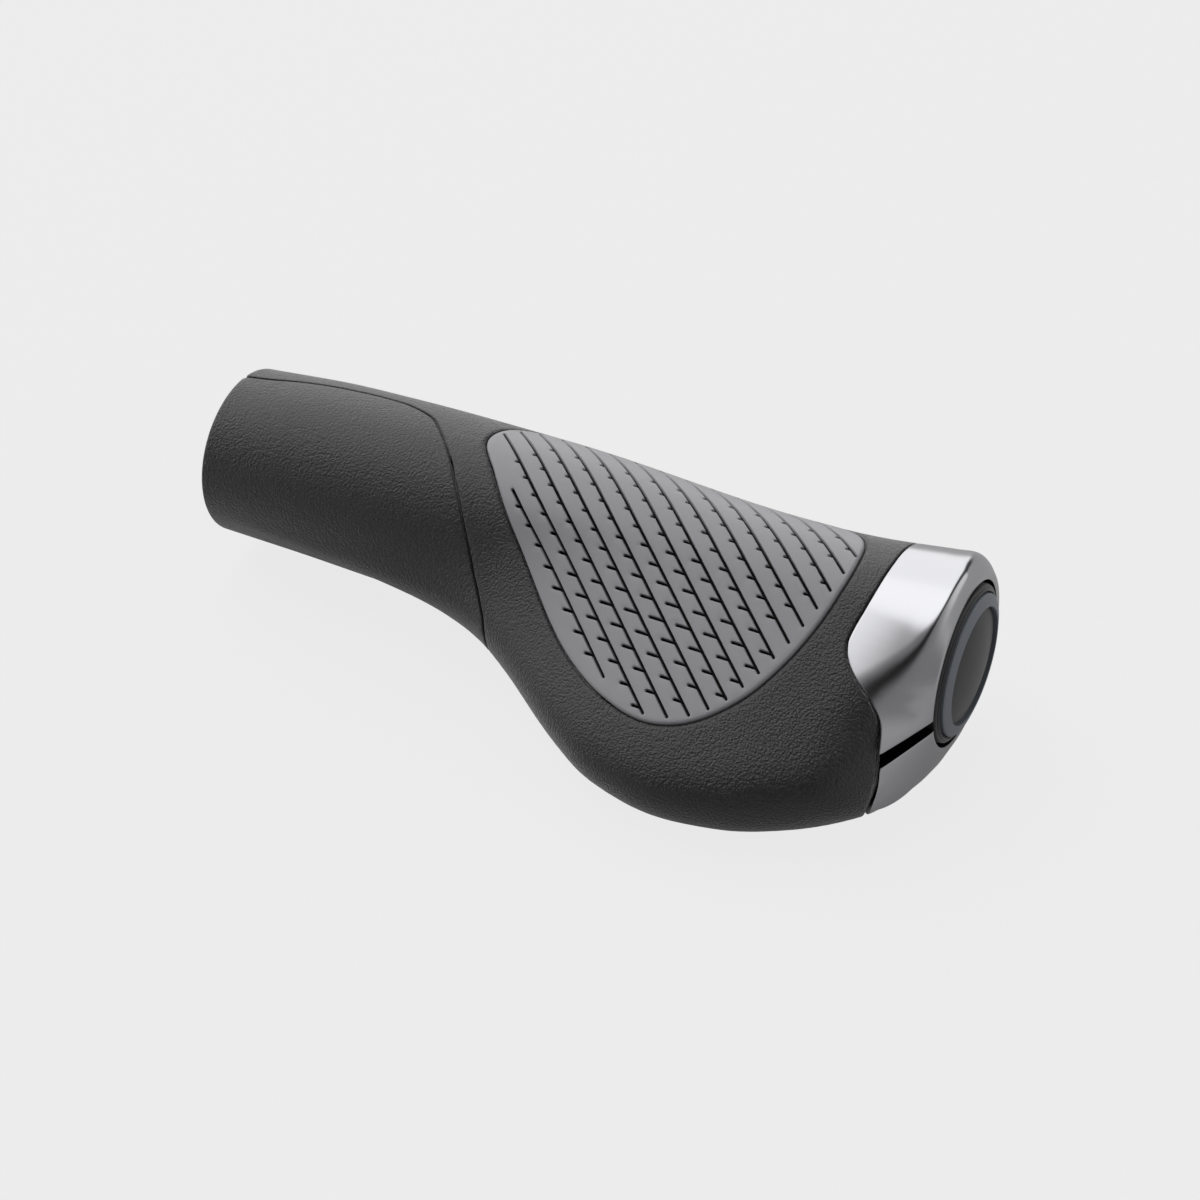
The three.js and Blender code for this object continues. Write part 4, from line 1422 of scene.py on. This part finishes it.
@dataclass(frozen=True)
class Finish:
    """Look of a surface: a Principled material with a procedural grain, and painted shade in gaps where it
    has a colour for it.
    """

    name: str
    color: tuple[float, float, float]
    roughness: float
    metallic: float = 0.0
    specular: float = 0.5
    sheen: float = 0.0
    grain_mm: float = 0.5
    bump_mm: float = 0.02
    tone: float = 0.06
    rough_swing: float = 0.08
    sheen_roughness: float = 0.35
    detail: float = 3.0
    broad_scale: float = 60.0
    broad_detail: float = 4.0
    cells: bool = False
    cell_ratio: float = 1.8
    cell_share: float = -0.8
    # Colour of the painted shade in gaps, or None for no painted shade
    painted_shade_color: tuple[float, float, float] | None = None

    def build(self) -> bpy.types.Material:
        """Builds the node tree.

        Returns:
            The new material.
        """
        material = bpy.data.materials.new(self.name)
        material.use_nodes = True
        tree = material.node_tree
        place = add_node(tree, "TexCoord", {}).outputs["Object"]
        fine = add_node(tree, "TexNoise", {
            "Scale": 1.0 / (self.grain_mm * MM), "Detail": self.detail, "Vector": place})
        height = fine.outputs["Fac"]
        if self.cells:
            cell = add_node(tree, "TexVoronoi", {
                "Scale": 1.0 / (self.cell_ratio * self.grain_mm * MM), "Vector": place})
            height = add_node(tree, "Math", {0: cell.outputs["Distance"], 1: self.cell_share, 2: height},
                              operation="MULTIPLY_ADD").outputs[0]
        bump = add_node(tree, "Bump", {"Strength": 1.0, "Distance": self.bump_mm * MM, "Height": height})
        broad = add_node(tree, "TexNoise", {
            "Scale": self.broad_scale, "Detail": self.broad_detail, "Vector": place})
        swing = add_node(tree, "MapRange", {
            "Value": broad.outputs["Fac"], "To Min": self.roughness - self.rough_swing,
            "To Max": self.roughness + self.rough_swing})
        shade = add_node(tree, "Mix", {
            "Factor": height, "A": (*[c * (1 - self.tone) for c in self.color], 1.0),
            "B": (*[min(1.0, c * (1 + self.tone)) for c in self.color], 1.0)}, data_type="RGBA")
        roughness, color = swing.outputs["Result"], shade.outputs["Result"]
        # Painted shade: inside gaps the colour turns near black and the surface fully rough
        if self.painted_shade_color:
            painted_shade = add_node(tree, "Attribute", {}, attribute_name="painted_shade")
            low, high = PAINTED_SHADE_SPAN
            share = add_node(tree, "MapRange", {
                "Value": painted_shade.outputs["Fac"], "From Min": low, "From Max": high}).outputs["Result"]
            rough = add_node(tree, "Mix", {"Factor": share, "A": roughness, "B": 1.0})
            dark = add_node(tree, "Mix", {"Factor": share, "A": color, "B": (*self.painted_shade_color, 1.0)},
                            data_type="RGBA")
            roughness, color = rough.outputs["Result"], dark.outputs["Result"]
        shader = tree.nodes["Principled BSDF"]
        for name, value in (("Metallic", self.metallic), ("Specular IOR Level", self.specular),
                            ("Sheen Weight", self.sheen), ("Sheen Roughness", self.sheen_roughness)):
            shader.inputs[name].default_value = value
        for name, source in (("Base Color", color), ("Roughness", roughness),
                             ("Normal", bump.outputs["Normal"])):
            tree.links.new(source, shader.inputs[name])
        return material


# The near-black last colours are the painted shade in seams, grooves, slit and hollows
FINISHES = {
    Slot.NYLON: Finish("core_nylon_moulded", (0.012, 0.012, 0.013), 0.55, grain_mm=0.3, bump_mm=0.005),
    Slot.GRIP: Finish("grip_rubber_leather_grain", (0.0065, 0.0065, 0.0075), 0.38, specular=0.8, sheen=0.9,
                      grain_mm=0.24, bump_mm=0.14, tone=0.5, cells=True, painted_shade_color=(0.003, 0.003, 0.003)),
    Slot.TREAD: Finish("tread_rubber_smooth", (0.37, 0.365, 0.385), 0.42, specular=0.6, sheen=0.5,
                       grain_mm=0.3, bump_mm=0.006, tone=0.03, painted_shade_color=(0.004, 0.004, 0.004)),
    Slot.ALUMINIUM: Finish("collar_aluminium_satin", (0.56, 0.56, 0.58), 0.24, metallic=1.0, grain_mm=0.12,
                           bump_mm=0.001, tone=0.02, rough_swing=0.015, painted_shade_color=(0.008, 0.008, 0.008)),
    Slot.STEEL: Finish("bolt_steel_black_oxide", (0.03, 0.03, 0.032), 0.4, metallic=1.0, grain_mm=0.2,
                       bump_mm=0.003),
    Slot.PLUG: Finish("plug_plastic_moulded", (0.024, 0.024, 0.0255), 0.42, sheen=0.5, grain_mm=0.25,
                      bump_mm=0.004),
    Slot.RING: Finish("ring_plastic_satin", (0.225, 0.245, 0.28), 0.4, grain_mm=0.25, bump_mm=0.003,
                      tone=0.03),
}


@dataclass
class Studio:
    """Floor, lamps and camera."""

    background: float = 0.938
    floor_tone: float = 0.4
    glow_share: float = 0.85
    mirrored_share: float = 0.2
    floor_size: float = 8.0
    floor_roughness: float = 0.9
    position_mm: tuple[float, float, float] = (233.73, -288.35, 269.90)
    aim_mm: tuple[float, float, float] = (71.86, -5.03, -5.18)
    roll: float = -0.0548
    lens_mm: float = 77.78
    screen_tone: float = 1.45
    screen_fade: tuple[float, float] = (-0.2, 0.1)
    rider_fade: tuple[float, float] = (-0.52, -0.25)
    rider_share: float = 0.15
    gap_tone: float = 0.03
    wall_fade: tuple[float, float] = (0.33, 0.6)
    wall_tones: tuple[float, float] = (0.26, 1.0)
    wall_span: tuple[float, float] = (-0.5, 0.95)
    softbox_place: tuple[float, float, float] = (-0.35, 0.0, 1.0)
    softbox_size: tuple[float, float] = (1.0, 1.0)
    softbox_power: float = 0.6

    def build_floor(self, z: float) -> bpy.types.Object:
        """Builds the floor, which looks even to the camera and still takes the object's shadow.

        Args:
            z: Height of the floor, in metres.

        Returns:
            The floor.
        """
        half = self.floor_size / 2
        mesh = bpy.data.meshes.new("studio_floor")
        corners = [(-half, -half, z), (half, -half, z), (half, half, z), (-half, half, z)]
        mesh.from_pydata(corners, [], [(0, 1, 2, 3)])
        floor = bpy.data.objects.new("studio_floor", mesh)
        bpy.context.scene.collection.objects.link(floor)
        material = bpy.data.materials.new("studio_floor_pale")
        material.use_nodes = True
        tree = material.node_tree
        shader = tree.nodes["Principled BSDF"]
        shader.inputs["Base Color"].default_value = (*[self.floor_tone] * 3, 1)
        shader.inputs["Roughness"].default_value = self.floor_roughness
        glow = add_node(tree, "Emission", {"Color": (1, 1, 1, 1), "Strength": self.background})
        path = add_node(tree, "LightPath", {})
        mirrored = add_node(tree, "Math", {
            0: path.outputs["Is Glossy Ray"], 1: path.outputs["Is Transmission Ray"]}, operation="MAXIMUM")
        seen = add_node(tree, "Math", {
            0: mirrored.outputs[0], 1: self.mirrored_share, 2: path.outputs["Is Camera Ray"]},
            operation="MULTIPLY_ADD")
        share = add_node(tree, "Math", {0: seen.outputs[0], 1: self.glow_share}, operation="MULTIPLY")
        blend = add_node(tree, "MixShader", {
            0: share.outputs[0], 1: shader.outputs["BSDF"], 2: glow.outputs["Emission"]})
        tree.links.new(blend.outputs["Shader"], tree.nodes["Material Output"].inputs["Surface"])
        mesh.materials.append(material)
        floor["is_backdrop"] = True
        return floor

    def lamp(self, name: str, place: tuple[float, float, float], size: tuple[float, float], power: float,
             aim: tuple[float, float, float] = (0.09, 0.0, 0.0)) -> bpy.types.Object:
        """Adds a soft rectangular lamp that faces the grip.

        Args:
            name: Name of the lamp.
            place: Where it stands, in metres.
            size: Its width and height, in metres.
            power: Its power in watts.
            aim: The point that it faces, in metres.

        Returns:
            The lamp.
        """
        data = bpy.data.lights.new(name, "AREA")
        data.shape = "RECTANGLE"
        data.size, data.size_y = size
        data.energy = power
        lamp = bpy.data.objects.new(name, data)
        lamp.location = place
        lamp.rotation_euler = (Vector(aim) - Vector(place)).to_track_quat("-Z", "Y").to_euler()
        bpy.context.scene.collection.objects.link(lamp)
        return lamp

    def build_light(self) -> None:
        """Builds a soft lamp and a room: a pale screen inboard, a dark gap and a grey wall outboard."""
        self.lamp("overhead_softbox", self.softbox_place, self.softbox_size, self.softbox_power)
        world = bpy.data.worlds.new("studio_room")
        world.use_nodes = True
        tree = world.node_tree
        place = add_node(tree, "TexCoord", {})
        split = add_node(tree, "SeparateXYZ", {0: place.outputs["Generated"]})

        def fade(axis: str, span: tuple[float, float], tones: tuple[float, float]) -> bpy.types.NodeSocket:
            """Adds a tone that eases from one value to another along an axis of the room.

            Args:
                axis: Letter of the axis.
                span: Places between which it eases, -1 and 1 being the ends of the room.
                tones: The two values.

            Returns:
                The socket that carries it.
            """
            node = add_node(tree, "MapRange", {
                "Value": split.outputs[axis], "From Min": span[0], "From Max": span[1],
                "To Min": tones[0], "To Max": tones[1]}, interpolation_type="SMOOTHSTEP")
            return node.outputs["Result"]

        across = fade("X", self.screen_fade, (self.screen_tone, self.gap_tone))
        back = fade("Y", self.rider_fade, (self.rider_share, 1.0))
        wall = fade("X", self.wall_fade, (0.0, 1.0))
        far_side = fade("Y", self.wall_span, self.wall_tones)
        screen = add_node(tree, "Math", {0: across, 1: back}, operation="MULTIPLY")
        tone = add_node(tree, "Math", {0: wall, 1: far_side, 2: screen.outputs[0]}, operation="MULTIPLY_ADD")
        tree.links.new(tone.outputs[0], tree.nodes["Background"].inputs["Color"])
        bpy.context.scene.world = world

    def build_camera(self) -> bpy.types.Object:
        """Builds the camera at the photograph's viewing angle.

        Returns:
            The scene's camera.
        """
        data = bpy.data.cameras.new("camera")
        data.lens = self.lens_mm
        data.sensor_width = 36.0
        camera = bpy.data.objects.new("camera", data)
        camera.location = Vector(self.position_mm) * MM
        look = (Vector(self.aim_mm) - Vector(self.position_mm)).to_track_quat("-Z", "Y").to_matrix()
        camera.rotation_euler = (look @ Matrix.Rotation(self.roll, 3, "Z")).to_euler()
        bpy.context.scene.collection.objects.link(camera)
        bpy.context.scene.camera = camera
        return camera


def dress(piece: bpy.types.Object, slot: Slot, material: bpy.types.Material, node: str) -> None:
    """Gives a piece its finish and lets it stand for a node of the model.

    Args:
        piece: The piece.
        slot: Not used.
        material: The finish.
        node: The node that the piece replaces.
    """
    piece.data.materials.append(material)
    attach(piece, BODY)
    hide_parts(node)
    log.info("%s stands for %s, in %s", piece.name, node, material.name)


def main() -> None:
    """Builds the grip piece by piece, then the floor, the lamps and the camera."""
    logging.basicConfig(level=logging.INFO, format="%(relativeCreated)d ms %(name)s: %(message)s")
    cad_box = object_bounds()
    materials = {slot: finish.build() for slot, finish in FINISHES.items()}
    skin = GripSkin()
    seam = Seam(skin)
    outline = TreadOutline()
    edge = CollarEdge(skin)
    plug = EndPlug(skin)
    dress(BarrelCover(skin, seam).build(), Slot.GRIP, materials[Slot.GRIP], "barrel_cover")
    dress(WingBody(skin, seam, outline, edge).build(), Slot.GRIP, materials[Slot.GRIP], "wing_body")
    dress(TreadPanel(skin, outline).build(), Slot.TREAD, materials[Slot.TREAD], "tread_panel")
    dress(ClampCollar(skin, edge).build(), Slot.ALUMINIUM, materials[Slot.ALUMINIUM], "clamp_collar")
    dress(plug.build_cap(), Slot.PLUG, materials[Slot.PLUG], "end_plug")
    dress(plug.build_ring(), Slot.RING, materials[Slot.RING], "plug_ring")
    for node, slot in (("core_tube", Slot.NYLON), ("clamp_bolt", Slot.STEEL)):
        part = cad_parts[node]
        part.data.materials.clear()
        part.data.materials.append(materials[slot])
        log.info("%s kept, in %s", node, materials[slot].name)
    studio = Studio()
    studio.build_floor(cad_box[0][2] - FLOOR_DROP)
    studio.build_light()
    studio.build_camera()
    bpy.context.scene.view_settings.view_transform = "Standard"


if __name__ == "__main__":
    main()
